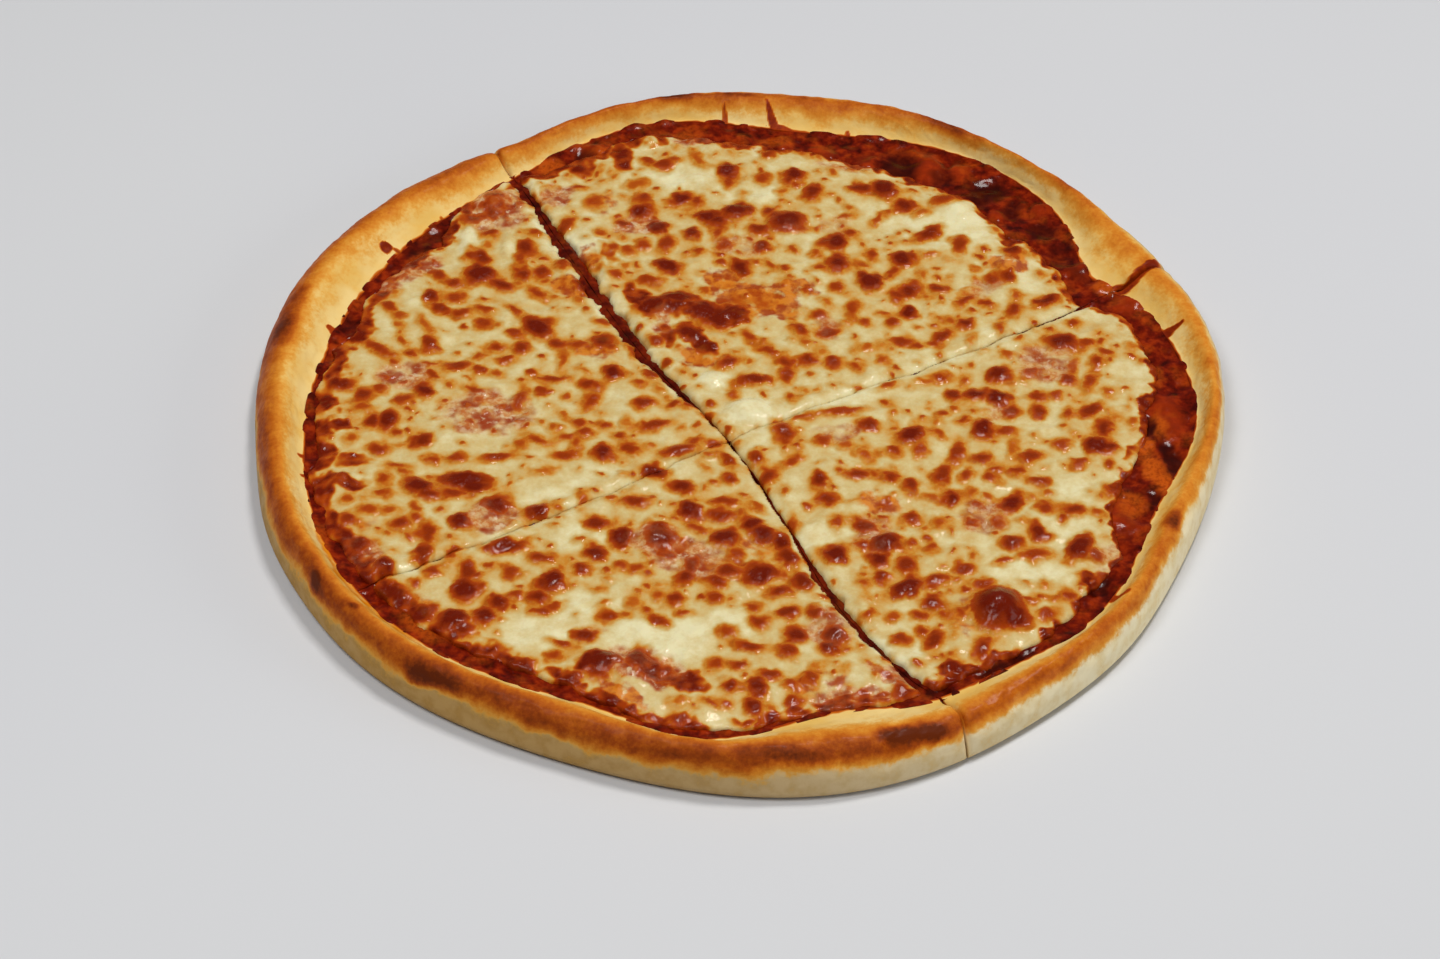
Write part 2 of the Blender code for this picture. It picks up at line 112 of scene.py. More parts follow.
# Brown blisters: x, y, half-length, half-width, direction in degrees, depth of the browning
BLISTERS_LEFT = (
    (-60, 25, 4.8, 3.2, -45, 1), (-66.5, 22.5, 2.2, 1.8, 0, .8), (-90.7, 16.7, 3.2, 2.1, 90, .85),
    (-92.5, 24.5, 3.5, 1.2, -60, .6), (-105, 14, 5.5, 1.7, -38, .8), (-95.7, 12.3, 1.5, 1.4, 0, .85),
    (-71.3, 15.7, 2.6, 1.5, 5, .85), (-64.3, 15.7, 2.6, 2, 80, .85), (-68, 11, 2.8, 1.3, 10, .85),
    (-76.3, 12, 2, 1.1, 15, .7), (-76, 24.7, 2, 1.6, 0, .6), (-81.7, 7.3, 3.6, 1.8, 10, .85),
    (-75, 6, 2.3, 1.4, -15, .85), (-89.7, 8, 2.6, 1, 0, .75), (-88.3, 3, 3, 1.3, -40, .85),
    (-101.7, 1.7, 1.8, 1.2, 0, .75), (-103, -3.3, 2.5, 1.7, 45, .75), (-114, -2, 3.5, 2.5, 0, .9),
    (-107.3, -6.3, 2.9, 2.5, 90, .8), (-90.3, -4, 2.9, 2.6, -50, .95), (-96, -8, 2.5, 2.4, 0, .65),
    (-76, -2.7, 3, 1.2, -25, .85), (-74.7, -6.7, 2.2, 1.3, -10, .7), (-63, -6.3, 4.5, 1.9, 75, .7),
    (-57.3, -2.3, 1.9, 1.7, 45, .8), (-54.3, 3, 4.2, 1.5, 0, .85), (-44, 1, 2.8, 2, 0, .85),
    (-37.3, 6, 2.9, 2.8, 0, .95), (-41, 20, 3.2, 3, 0, .85), (-48, 18, 3, 2, 0, .7),
    (-53.7, 18, 2.5, 2.4, 0, .75), (-52, 11, 4, 1.4, 85, .65), (-42.7, -6, 3.6, 1.9, 60, .75),
    (-50.3, -12, 2.2, .9, -60, .6), (-53, -18, 1.8, 1.4, 60, .6), (-38.5, -16, 2, 1.3, 0, .8),
    (-44, -19.3, 1.9, 1.5, 0, .8), (-103.7, -17.7, 2.7, 1.9, 90, .95), (-99.3, -16.7, 4, 2.4, 80, .95),
    (-89, -24.7, 3.4, 2.3, 50, .9), (-101.3, -28.7, 2.5, 2.2, 0, .75), (-85, -32.3, 2.3, 1.5, 0, .75),
    (-79, -31.3, 2.5, 1.6, 10, .75), (-67.7, -30.7, 4.2, 1.7, 15, .85), (-57.3, -23, 3.6, 1.4, -28, .8),
    (-61.7, -24.7, 2.1, 1.6, 90, .6), (-49, -21.7, 2.6, 1.2, 10, .75), (-46.3, -23.8, 2.8, 1.3, 65, .7),
    (-49.3, -29, 3.3, 1.7, 5, .8), (-38.7, -27.5, 3.3, 2.6, 90, .95), (-54.7, -35.7, 3.4, 1.2, 15, .45),
    (-95.3, -35, 2.6, 1.1, 0, .75), (-93, -37.3, 2.4, 1, -35, .7), (-88.5, -43.5, 3.8, 3.2, -30, .95),
    (-85.7, -46.7, 3, 2, 0, .9), (-76, -40.5, 7.5, 3, 0, .9), (-73, -43, 4.5, 2.5, 0, .95),
    (-79, -46, 3.6, 1.8, 0, .85), (-98.3, -40.7, 2.2, 1.7, 90, .7), (-98.3, -46.7, 2.2, 1.3, 0, .75),
    (-43.3, -46.7, 2.8, 1.4, 80, .6), (-67, -50.5, 4, 3.3, 0, .85), (-55, -52, 3, 2.7, 0, .9),
    (-76.3, -57, 2.8, 2.6, 0, 1), (-101, -53.7, 3.2, 1.6, 5, .65), (-95.5, -53.5, 2.8, 1.2, 0, .65),
    (-88.7, -52, 2.2, 1.3, -60, .7), (-106.3, -57.3, 2.5, 2, 0, .8), (-92.3, -58.7, 2.4, 2.2, 0, .8),
    (-28.3, -6.3, 3.3, 2.1, 25, .85), (-19.8, -6.7, 1.7, 1.4, 30, .85), (-14.7, -6.3, 2.6, 1.6, -45, .9),
    (-25, -15.3, 4.8, 1.8, 22, .85), (-18, -26, 5, 2.2, 20, .8), (-13.5, -21.5, 2.2, 1.6, 50, .7),
    (-31.7, -25.7, 3, 1.9, -40, .8), (-29.7, 2.3, 1.5, 1.2, 0, .75), (-26.3, 6.3, 2.4, 1.4, -30, .9),
    (-32, 16.3, 3.2, 1.8, -65, .65), (-24, -34.7, 3.6, 2.6, -10, 1), (-8, -22.3, 2.4, 1.9, 0, .7),
    (-82.3, 74.7, 3, 3, 0, .7), (-76.5, 68, 2.5, 1.8, 0, .8), (-63.7, 68.7, 2.2, 1.3, -20, .75),
    (-65.7, 61.3, 4.2, 2.5, 90, .85), (-67, 56.7, 3, 1.8, 80, .7), (-78.3, 56, 3.5, 2.5, -60, .85),
    (-78.3, 48, 4.5, 3.5, 0, .95), (-71.7, 44, 3.5, 2.2, -25, .9), (-65.7, 48.7, 2.7, 2.3, 0, .85),
    (-60.3, 50.7, 2.5, 2, 0, .85), (-61, 40.7, 3.5, 1.8, -45, .75), (-90.3, 47.3, 3, 1.6, -45, .85),
    (-85.7, 44, 2.6, 2, 0, .8), (-91.7, 38, 3, 2.1, -70, .95), (-88.5, 32.5, 3.5, 1.8, -35, .9),
    (-82.7, 30.7, 2.8, 1.7, 0, .8), (-85, 37.3, 2.5, 2.5, 0, .6), (-103.7, 32.7, 3, 1.5, -50, .85),
    (-100.3, 28.7, 1.8, 1, 0, .7), (-76, 32.3, 3, 1.4, -15, .8), (-75.7, 26.7, 2.5, 2.2, 0, .7),
    (-67, 32.5, 3, 1.2, -45, .8), (-54.3, 54.7, 2, 2.5, 0, .7), (-47.5, 44.5, 3, 3, 0, .95),
    (-53.3, -70.3, 3.2, 1.8, -15, .85), (-107, -63, 3, 2, -30, .9), (-103, -66.3, 3.5, 2.5, -35, .95),
    (-84.3, -63, 1.7, 3.5, 20, .85),
)
BLISTERS_FRONT = (
    (-39.3, -56, 3.2, 2.2, 0, .9), (-4, -28.7, 3.2, 1.6, -45, .85), (-3.3, -37, 1.9, 1.8, 0, .85),
    (-16.3, -40.3, 3.1, 2.5, 0, .9), (-29, -47, 3.5, 2, 0, .85), (-21.7, -61, 4.5, 4, 0, .85),
    (-19.3, -67.7, 2.3, 1.7, 0, .85), (-14.3, -49.7, 3.2, 3, 40, .95), (-5.7, -51.7, 4, 2.3, 0, .8),
    (-4.7, -46, 3.5, 1.8, 0, .8), (-12, -56.7, 3.2, 1.5, -25, .75), (-4.7, -60.3, 3.4, 3, 35, 1),
    (3, -55, 2.7, 2.6, 0, .95), (5.7, -58.3, 3, 2.7, 0, .95), (4.3, -47, 3, .9, -40, .7),
    (11, -61.7, 2.5, 3.2, 0, .95), (13, -67, 3.5, 2.3, -60, .9), (-1, -66.3, 2.5, 2, 70, .7),
    (5.3, -74, 4.2, 3.5, 30, 1), (-3, -73, 3.5, 2.6, 0, .8), (-6.3, -77, 3, 2, -20, .85),
    (-13, -71, 4, 2, 70, .9), (-14.3, -75.7, 2.7, 2.5, 0, .85), (-28, -72.7, 2.3, 1.7, 0, .65),
    (-17, -83.7, 2.1, 2.1, 0, .85), (-6.3, -83.3, 2, 2, 0, .75), (17, -76.3, 3.5, 2.6, -60, .85),
    (11, -80, 2.8, 1.8, 10, .9), (7.7, -81, 1.5, 1, 0, .6), (22.7, -81, 2, 1, 0, .8),
    (3.3, -86.3, 1.9, 1.8, 0, .7), (12.7, -87.7, 3, 1.8, 20, .95), (20, -88.3, 2.2, 1.8, 90, .85),
    (-14.7, -89, 1.8, 1.2, 0, .75), (-21.3, -92.3, 2.8, 1.6, -20, .85), (-34, -91, 2.3, 2, 0, .8),
    (5.3, -91.7, 2.2, 2, 0, .8), (-3, -95.7, 2.3, 1.9, 0, .65), (15.3, -96, 3.3, 2.8, 80, .85),
    (13.3, -102.3, 2.4, 2.2, 0, .8), (25, -95.7, 3.2, 3.2, 0, .85), (23.7, -100.3, 2.4, 2, 0, 1),
    (3, -101, 3.8, 1.7, -5, .9), (-5.7, -107.7, 2.2, 1.7, 30, .75), (.3, -108, 2, 1.7, 0, .85),
    (8.3, -110.7, 2.8, 1.9, 0, .85), (5.3, -115, 2.6, 2.6, -35, .9), (-2, -116, 1.9, 1.9, 0, .95),
    (-6.3, -121.7, 2.2, 1, -20, .8), (4.3, -122.3, 2.6, 2.2, 90, .95), (5.7, -127, 3.5, .9, 85, .8),
    (14.3, -119.7, 2.5, 2.1, 90, .75), (14.3, -114, 2.2, 1.8, 0, .7), (19.3, -111.7, 2.2, 2.2, 0, .75),
    (42.3, -115, 3.2, 2.1, 80, .8), (37.7, -117.7, 2.2, 1.2, 0, .85), (39, -104.3, 2, 1.2, -40, .8),
    (-14.3, -127, 2.3, 2, 0, .85), (-32.3, -61, 4, 2.8, 80, 1), (-39, -67.7, 3, 2.6, 0, .9),
    (-42.3, -73.7, 2.3, 2, 90, .85), (-32, -72.3, 1.8, 1.7, 0, .7), (-49.7, -79, 4, 2.9, 70, .95),
    (-52.3, -81, 2, 1.6, 0, .85), (-53.3, -85, 2.5, 2.3, 0, .9), (-59.3, -84.3, 1.8, 1.6, 0, .75),
    (-63.7, -87.3, 2.7, 2.5, 0, .9), (-67, -92.3, 3.2, 2.7, 80, .9), (-75, -94.3, 4, 3.5, 0, 1),
    (-72.3, -97.7, 3, 2, 0, .95), (-83.7, -92.3, 3.2, 2.8, 0, .95), (-93, -85, 4.5, 3.2, -10, .95),
    (-81.7, -76.3, 2, 1.8, 0, .8), (-72.7, -76.3, 4, 2.2, 90, .85), (-73, -83, 4, 3.2, 80, .95),
    (-69, -81.3, 2, 1.5, 0, .8), (-61, -75.7, 2.5, 2, 90, .7), (-49, -88.3, 3, 1.3, 30, .8),
    (-52.3, -90.3, 2.5, 1.5, 0, .85), (-37.7, -81.3, 2, .8, -20, .5), (-40.3, -98.7, 3, 2.3, -10, .9),
    (-46, -101.7, 2.8, 1.2, -20, .85), (-47.7, -106.3, 2.5, 1.5, 0, .75),
    (-72.5, -103.5, 4.5, 1.6, -30, .9), (-67.5, -107, 2.5, 1.5, -15, .95), (-56.3, -109.3, 3.3, 2, 0, .95),
    (-61, -111, 3, 1.5, 0, .85), (-53, -115, 2.5, 1.5, 0, .8), (-43.7, -114.3, 3.5, 2, 25, 1),
    (-35.7, -108.3, 4.5, 4, 20, 1), (-26.3, -107, 4, 2.5, 90, .95), (-63, -66.5, 5.5, 2.2, 10, .95),
    (-95, -75, 2.7, 2.5, 0, .95), (-85, -69.7, 4, 2.3, 90, .85), (-77, -69, 3.5, 1.5, 50, .8),
)
BLISTERS_BACK = (
    (-5, 12.3, 3.4, 1.8, 30, .9), (6.7, 18.3, 3.4, 1.6, -30, .8), (11.7, 13, 2.6, 2.2, -40, .8),
    (12, 7.7, 3.4, 1.9, 85, .8), (3, 5, 5, 2, 12, .95), (16, 27.3, 3, 1.8, -70, .85),
    (24, 27.3, 3.4, 2, 20, .85), (18, 15, 2.3, 2.1, 0, .85), (25.3, 14.3, 2.4, 2, 0, .85),
    (31.7, 12.3, 2, 1.5, -30, .7), (13, -1.7, 1.8, 1.3, 90, .7), (41, 4.5, 2.8, 1.2, 35, .75),
    (21, 34.7, 2.2, 2, 0, .75), (31, 38, 4, 1.8, 85, .7), (34.7, 32.3, 1.9, 1.5, 0, .75),
    (40.3, 36.3, 2.2, 1.2, 0, .65), (1, 24.3, 3, 1.9, -60, .7), (45, 24, 3.6, 1.7, -5, .85),
    (49.5, 22.5, 2, 1.5, -20, .8), (57, 27, 3.4, 2.1, 35, .85), (54.3, 23.7, 2.2, 1.5, 0, .8),
    (63.7, 32.3, 2.2, 2.1, 0, .95), (73.7, 31, 2.6, 1.2, 80, .7), (65, 25, 2.6, 1, 80, .5),
    (39.3, 15.3, 1.6, 1.3, 60, .65), (-27, 37, 4, 3.4, 0, 1), (-20, 40, 5, 3, 0, 1),
    (-12, 34.5, 5, 3.8, 0, 1), (-4, 34, 4.5, 3.4, 0, 1), (-8, 31, 4, 3, 0, .95), (-17, 25, 3.5, 3, 0, .9),
    (-31, 106, 2.5, 1.5, -20, .8), (-26.5, 104, 3, 2, 30, .85), (-23, 106.5, 2, 1.2, 20, .7),
    (-34.3, 93.7, 3.2, 2, 10, .45), (-15.7, 106.7, 4, 1.4, -60, .6), (-6.5, 102, 3.5, 3, 90, .9),
    (-6, 96.5, 3, 2, 90, .7), (4, 98.3, 2.3, 2.3, 0, .65), (13.7, 100.7, 3.2, 3, 0, .9),
    (14.3, 96, 1.5, 1.5, 0, .7), (19.3, 92, 3.8, 2.6, 80, .85), (33.7, 94.7, 4, 2.5, 0, .85),
    (41, 94.7, 4.5, 3, -70, .95), (-20.3, 87.3, 3.5, 2.5, 40, .95), (-15.7, 86.7, 2, 2, 0, .75),
    (-31.7, 86.7, 3, 2.5, 90, .7), (-32.3, 80.7, 3, 3, 0, .85), (-27.3, 73.3, 3.1, 2.9, 90, 1),
    (-37.3, 74.7, 2.2, 2.2, 0, .85), (-17, 70.7, 2.8, 2.3, 60, .9), (-12.3, 78.7, 3, 2.8, 0, 1),
    (-3.7, 81.3, 4.5, 3.2, 30, .95), (-9, 76.7, 3, 2.5, 0, .9), (-9, 71.3, 3, 1.5, 80, .75),
    (6, 82.7, 1.7, 1.7, 0, .9), (11.7, 77.3, 5.5, 4.3, 30, .9), (3, 73.3, 3, 2.3, 0, .85),
    (4.3, 65.3, 2.8, 2.2, 80, .9), (-7, 66, 3, 2, 60, .7), (-14.3, 62.3, 2, 1.3, 0, .75),
    (-24, 65.3, 4, 2.2, 70, .75), (-31, 64.7, 2.5, 1.7, -70, .7), (-39.7, 62.7, 1.7, 1.7, 0, .7),
    (-23.7, 54.7, 4.5, 2.8, -40, .95), (-2, 55.3, 4, 2.5, -75, .95), (-7.7, 61.3, 1.5, .8, 0, .9),
    (13.7, 64.7, 2.3, 1.3, -35, .7), (7, 57.3, 2.3, 1, -55, .75), (26.3, 68.7, 4, 3.2, 80, .9),
    (31, 73.3, 2, 1.8, 0, .8), (29, 80.7, 2.5, 1, 20, .7), (39, 80.7, 3, 1, 60, .75),
    (26.7, 58, 3.5, 3, 90, .85), (21.7, 56.3, 1.8, 1.3, 0, .75), (20.3, 63.3, 1.6, 1.6, 0, .6),
    (37, 63.3, 2, 2, 0, .75), (34.3, 58, 1.8, 1.2, 0, .65), (36.3, 50, 3.5, 3.4, 0, 1),
    (26.3, 48, 2.2, 2, -30, .7), (-29, 48, 4, 1.8, 0, .75), (17.7, 46, 2, 1, 80, .8),
    (44.3, 44.7, 2.5, 2, 80, .8), (-51.7, 91.3, 2.2, 1.2, 10, .8), (-54.3, 72.7, 4.5, 1.7, 65, .8),
    (-46.3, 84, 3, 2.7, 0, .5), (79, 67, 3, 2, 0, 1), (77, 54.3, 2.5, 2.5, 0, .8),
    (72.3, 53.7, 2.5, 2, 0, .75), (63.3, 69, 4, 2, 85, .8), (54.3, 74.3, 5, 2.3, 50, .9),
    (47, 87, 3.2, 2.8, 80, .85), (59, 89.7, 4.3, 2.4, 25, .65), (52.3, 83.7, 2.5, 1.5, 20, .5),
    (54.3, 64.3, 2.5, 1.2, 0, .55), (67.7, 59, 1.4, 1.2, 0, .5), (45.7, 61.7, 3.3, 3, 60, .95),
    (43, 55.7, 3, 1.3, 60, .85), (51.7, 54.3, 2.5, 1, 90, .6), (47.7, 47, 3.5, 3, 45, .8),
    (56.3, 48.3, 2.5, 2.2, 0, .85), (64.3, 43.7, 3.5, 1.5, 50, .85), (70, 42.7, 2.5, 1.5, -20, .85),
    (79, 46.3, 2, 1.5, 90, .6), (78.3, 39.7, 3, 1.8, 85, .85), (88.3, 44.3, 4.2, 2.2, 35, 1),
    (86.3, 57.3, 1.5, 1, 90, .55), (47.3, 37.7, 2.6, 2.6, 0, .95),
)
BLISTERS_RIGHT = (
    (11.7, -17, 4, 2.6, -70, .75), (9.3, -12.3, 1.4, 1.2, 0, .7), (16, -10.3, 2.8, 1.3, 25, .7),
    (27.7, -7.3, 6, 1.4, 12, .8), (35, -12.7, 2.9, 2.2, 0, .85), (22.3, -19.7, 2.5, 1.9, 0, .7),
    (14, -28.3, 3.1, 1.6, 40, .75), (7.3, -35, 3.6, 2.1, 55, .85), (21.3, -36, 3.3, 2.1, 90, .95),
    (32, -33.3, 2.9, 2, 0, .85), (36.3, -33, 1.8, 1.2, -50, .7), (41, -34.3, 2.2, 2, 45, .85),
    (23.7, -43.3, 3, 2.2, 0, .85), (42.3, -23, 1.9, 1.8, 0, .8), (34, -25, 2.6, 2.2, 0, .5),
    (56, 8.7, 2.2, 1.6, 0, .8), (52, 7, 2.8, 1, 10, .6), (59.5, 1.3, 2.6, 2.4, 90, .85),
    (65.7, 1.7, 3.4, 2.5, 0, .95), (72, .7, 3, 3, 0, .95), (83, 1.7, 3.2, 1.7, 0, .8),
    (72.3, 10.3, 3.8, 2.7, 50, .9), (81.7, 12, 2.8, 1.6, 50, .8), (91.5, 26, 4.5, 3.5, 0, .85),
    (98.5, 26, 2.6, 1.9, 0, .75), (100.7, 17.3, 2.4, 1.9, 90, .8), (98.3, 8.7, 4.2, 1.7, 70, .75),
    (92, 9.3, 2.2, 2, 0, .85), (94, 15, 4, 1.4, 80, .65), (97.7, -3.7, 3.7, 2, 32, .9),
    (91.8, -5, 1.9, 1.6, 80, .75), (83, -4.7, 2.7, 2, 70, .85), (75.3, -5, 2.6, 2, 40, .85),
    (101, -11, 4, 2.2, 85, .9), (98.7, -18.7, 3.7, 3.2, 0, .95), (61.7, -9.7, 1.8, 1.5, 90, .75),
    (56, -7.3, 2.3, 1.3, 35, .8), (67, -13, 4, 2.6, 75, 1), (73.3, -13.7, 2.9, 1.6, 15, .8),
    (47, -16.5, 4.2, 2.8, 32, .9), (54.7, -15, 2.6, 1.4, -55, .7), (75, -21, 3.6, 1.4, 75, .5),
    (80.3, -23.7, 3.3, 2.2, 25, .8), (89, -18.3, 2.5, 1.8, 0, .7), (93.7, -25.7, 2.9, 1.7, 35, .75),
    (101.7, -25.7, 1.6, 1.5, 0, .8), (66.7, -25.3, 2.9, 1.9, 0, .85), (59.7, -22.5, 4.2, 1.9, 75, .8),
    (55, -32.3, 4.4, 2, 65, .85), (49.3, -22.3, 3, 1.6, 75, .7), (70, -29, 2, 1.2, 15, .8),
    (76, -29.7, 2.6, 1.4, 5, .85), (82, -33.3, 2.9, 1.6, -5, .85), (62, -32.3, 2.4, 1.9, 60, .75),
    (68.3, -32.7, 1.9, 1.8, 0, .75), (46.5, -37.3, 3, 2.2, 90, .85), (57.7, -42.3, 2.4, 2.4, 0, .95),
    (52, -42, 2.2, 1.2, -20, .6), (64.3, -44, 1.8, 1.5, 0, .8), (63, -39, 1.7, 1.2, 50, .6),
    (74, -42.7, 4.2, 2.8, 55, .95), (83.1, -44.5, 2.3, 1.9, 90, .75), (91.3, -44.7, 2.6, 2.4, 40, .8),
    (46.5, -49.7, 2.3, 2, 0, .85), (62.7, -51.3, 2.4, 1.6, 38, .85), (54, -51.7, 2, 1.8, 0, .55),
    (80.7, -54.3, 3.2, 2.2, -80, .95), (73.5, -58.5, 2.8, 2.4, 0, .85), (103, -35.7, 3.1, 1.8, 22, .9),
    (68.3, -84, 7.6, 6.4, 75, 1), (13.7, -53.7, 2.8, 1.7, 80, .7), (26, -52.3, 2.2, 1.7, 90, .7),
    (33.7, -53.7, 3.2, 2.2, 0, .9), (25.7, -65.7, 3.3, 3.1, 90, 1), (33, -61, 2.2, 2, 0, .8),
    (39, -60.3, 4, 3, 30, 1), (37.3, -67, 2.8, 2.5, 80, .95), (44.5, -68.7, 3.5, 2.4, 70, .8),
    (37.7, -73.7, 2.3, 2.2, 0, .85), (33, -76.3, 1.6, 1.6, 0, .6), (44.3, -77.7, 5.2, 2.6, 35, 1),
    (52.5, -74, 3.6, 1.8, 35, .85), (51.7, -61, 1.8, 1.8, 0, .65), (51.3, -82.5, 2.9, 2.2, 0, .9),
    (47.8, -87.2, 2.2, 1.6, 0, .8), (41, -88.2, 1.8, 1.4, 0, .65), (34.3, -87.7, 2.5, 1.5, 45, .7),
    (42.7, -96.3, 2.3, 2.2, 0, .75), (51.2, -96.6, 3.7, 2.1, 65, .9), (48.4, -92.8, 1.9, 1.7, 0, .8),
    (54, -86.5, 1.5, 1.4, 0, .7), (70, -51, 2, 2, 0, .65), (79.3, -63, 4.5, 2, 15, .7),
    (91.7, -59.7, 5.2, 3, 60, .95), (96, -62.3, 2.3, 1.8, -40, .8), (70.7, -65.7, 2.5, 1.1, 25, .8),
    (60.3, -69, 2.5, 2, 10, .85), (64.7, -75, 2.8, 1.9, 0, .75), (76.7, -80.3, 2, 1.2, 0, .75),
    (81.7, -74.3, 1.5, 1.2, 0, .5), (88, -77.7, 1.9, 1.6, 0, .8), (84.7, -79.3, 2, 1, 0, .6),
    (81.7, -85.3, 2.7, 2, 25, .7), (58.7, -85.7, 2.5, 1.5, 90, .7), (64, -99, 4, 2.2, 80, .85),
    (56, -106.3, 3, 2.5, 0, 1),
)

# Wide soft areas: x, y, half-length, half-width, direction, strength
MAUVE_AREAS = (
    (-72, -12, 13, 9, 0, .8), (-97, 3, 8, 6, 0, .7), (-67, -55, 7, 6, 30, .9), (-98, 51, 9, 5, 25, .9),
    (-105, 42, 5, 4, 50, .7), (-76, 80, 9, 11, 0, .9), (-57.7, 87, 6, 5, 60, .8),
    (-15, -67, 12, 7, -20, .8), (-24, -61, 8, 6, 0, .6), (86, 16, 9, 9, 0, .6), (72, -5, 5, 4, 0, .5),
    (27, -16, 7, 4, 10, .5), (66, -49, 7, 7, 0, .55), (36, -57, 6, 7, 0, .5), (24, 30, 4, 6, 0, .5),
    (-33, 74, 7, 5, 0, .8), (26, 78, 5, 5, 0, .35), (-24, -109, 11, 6, -25, 1), (24, -93, 8, 6, 20, .6),
    (-3, 66, 8, 6, 0, .4), (-102, -70, 5, 7, 40, .8), (40, -109, 7, 3, -20, .8), (30, -118, 12, 4, 12, .8),
    (100, -62, 6, 6, 0, .5), (14, 75, 5, 4, 0, .4), (-24, 30, 3, 6, 0, .8), (70, 50, 7, 4, 30, .4),
    (-16, 118, 8, 4, 0, .7), (30, 108, 10, 5, 0, .5), (-38, -96, 4, 3, 0, .3),
)
ORANGE_AREAS = (
    (-12.8, 14.6, 6, 5, 0, 1.2), (3, 40, 12, 7, -10, 1.4), (-6.7, 49, 7, 6, 0, 1.1),
    (14.5, 46.4, 6, 4, 0, 1), (-42.7, 16.7, 5, 5, 0, .9), (77.5, 61, 5.5, 5, 0, 1.4),
    (38, -44, 6, 5, 0, .8), (-51, 45, 6, 5, 0, 1.1), (-47, 58, 4, 5, 0, .8), (-61, 103, 5, 4, 30, .8),
    (3, 113, 4, 2, -60, .7), (-43, 84, 4, 6, 0, .6), (10, 45, 7, 5, 0, .7), (-30, -119, 8, 3, -40, .9),
    (-60, -110, 10, 2.5, -20, .6), (-101, -58, 4, 3, 0, .3), (60, -88, 3, 8, 0, .5),
    (-84, -88, 9, 3, -40, .5), (-95, -88, 6, 4, -30, .5), (22, -113, 8, 3, 20, .6), (-2, -72, 8, 5, 0, .4),
    (5, -63, 6, 4, 0, .5),
)
# Dark crusts of cheese and sauce baked together
CRUSTY_AREAS = (
    (-117, -9, 5, 3.5, 90, 1), (-114, -20, 6, 3, 0, 1), (-115, -29, 4, 3, 90, 1),
    (-108, -33, 6, 3.5, 0, .9), (-110, -43, 9, 3, 0, 1), (-112, 20, 3, 6, 20, .9),
    (-96, 60, 3, 10, -35, .9), (-104, -68, 7, 4, -40, 1), (-95, -76, 4, 3.5, -40, .9),
    (-93, -85, 6, 4, -15, .7), (-74, -95, 7, 3.5, -10, .8), (-71, -104, 7, 2, -32, .8),
    (-58, -110, 6, 2.5, -5, .9), (-36, -108, 6.5, 4.5, 10, 1), (-22, -110, 8, 5, -30, 1),
    (-13, -114, 6, 4, -20, 1), (-43, -114, 5, 2.2, 25, .9), (-14, -127, 6, 2.5, -5, .8),
    (-63, -66, 6, 2.2, 12, .9), (-55, -70, 4, 2, -30, .7), (-76, 82, 5, 9, -10, .9),
    (-66, 85, 4, 6, 30, .7), (-51, 103, 5, 7, 0, 1), (-39, 108, 4, 9, 10, 1), (-18, 37, 11, 6, -10, 1),
    (-5, 33, 8, 5.5, 0, 1), (-17, 26, 4, 4, 0, .9), (-6, 117, 4, 5, 0, .8), (-18, 121, 6, 4, 0, .8),
    (11, 118, 5, 5, 0, .9), (20, 112, 6, 4, -10, .7), (-60, 90, 4, 4, 0, .6), (-32, 79, 4, 6, 0, .7),
    (11, 77, 7, 5, 25, .7), (-20, -62, 7, 4, -20, .8), (-13, -70, 3, 5, -20, .7), (39, -60, 6, 3.5, 30, .8),
    (24, -94, 5, 3, 0, .6), (38, -108, 5, 2, -20, .8), (28, -118, 9, 2, 12, .9), (56, -107, 4, 3, 0, 1),
    (100, -18, 4, 5, 0, .7), (91, -60, 6, 3, 60, .6), (79, 68, 4, 2.5, 0, .8), (64, 47, 6, 2.5, 40, .6),
    (85, 24, 8, 4, 20, .5), (-47, 45, 4, 4, 0, .8), (-46, 55, 4, 6, 0, .6), (-31, 39, 4, 10, 28, 1),
    (-22, 24, 3, 6, 28, .9), (-13, 21, 7, 3.5, -50, 1.1), (3, 41, 10, 6, -10, .62), (-7, 49, 6, 4, 0, .58),
    (-13, 14, 5, 4, 0, .6), (-52, 45, 6, 5, 0, .6), (-43, 17, 5, 4, 0, .55), (13, 46, 5, 3, 0, .52),
    (-41, 60, 3, 6, 28, .7), (56, 105, 4, 7, 0, .9), (112, 44, 4, 4, 0, .9), (-82, -42, 9, 3.5, 0, .5),
)
WHITE_AREAS = (
    (1.5, -8, 8, 6, 0, 1), (-9, 5, 5, 4, 0, .8), (60, 78, 14, 14, 40, .9), (82, 58, 6, 10, 20, .6),
    (-31, 116, 5, 4, 0, .9), (-20, -98, 16, 8, 10, .9), (-44, -95, 9, 12, 0, .7), (-2, -92, 8, 5, 20, .8),
    (-87, -71, 4, 9, 0, .8), (0, 90, 10, 5, 0, .7), (78, -70, 14, 7, 0, .7), (88, -52, 9, 10, 0, .6),
    (-62, 66, 5, 12, -60, .8), (-83, 64, 3, 8, 0, .7), (-47, 66, 4, 8, 50, .8), (40, -99, 5, 8, 0, .8),
    (20, -58, 4, 12, -65, .8), (-38, 58, 5, 8, 0, .7), (-21, 100, 12, 5, 0, .4), (45, -94, 6, 12, 0, .5),
    (-45, -62, 8, 5, 20, .6), (-48, -42, 20, 3, 32, .5), (32, -1, 20, 3, 30, .5), (10, -112, 14, 6, 0, .3),
    (-75, -48, 14, 5, 10, .3), (92, -40, 6, 10, 0, .6), (-57, -98, 8, 7, 0, .7), (-27, 96, 9, 6, 0, .5),
)

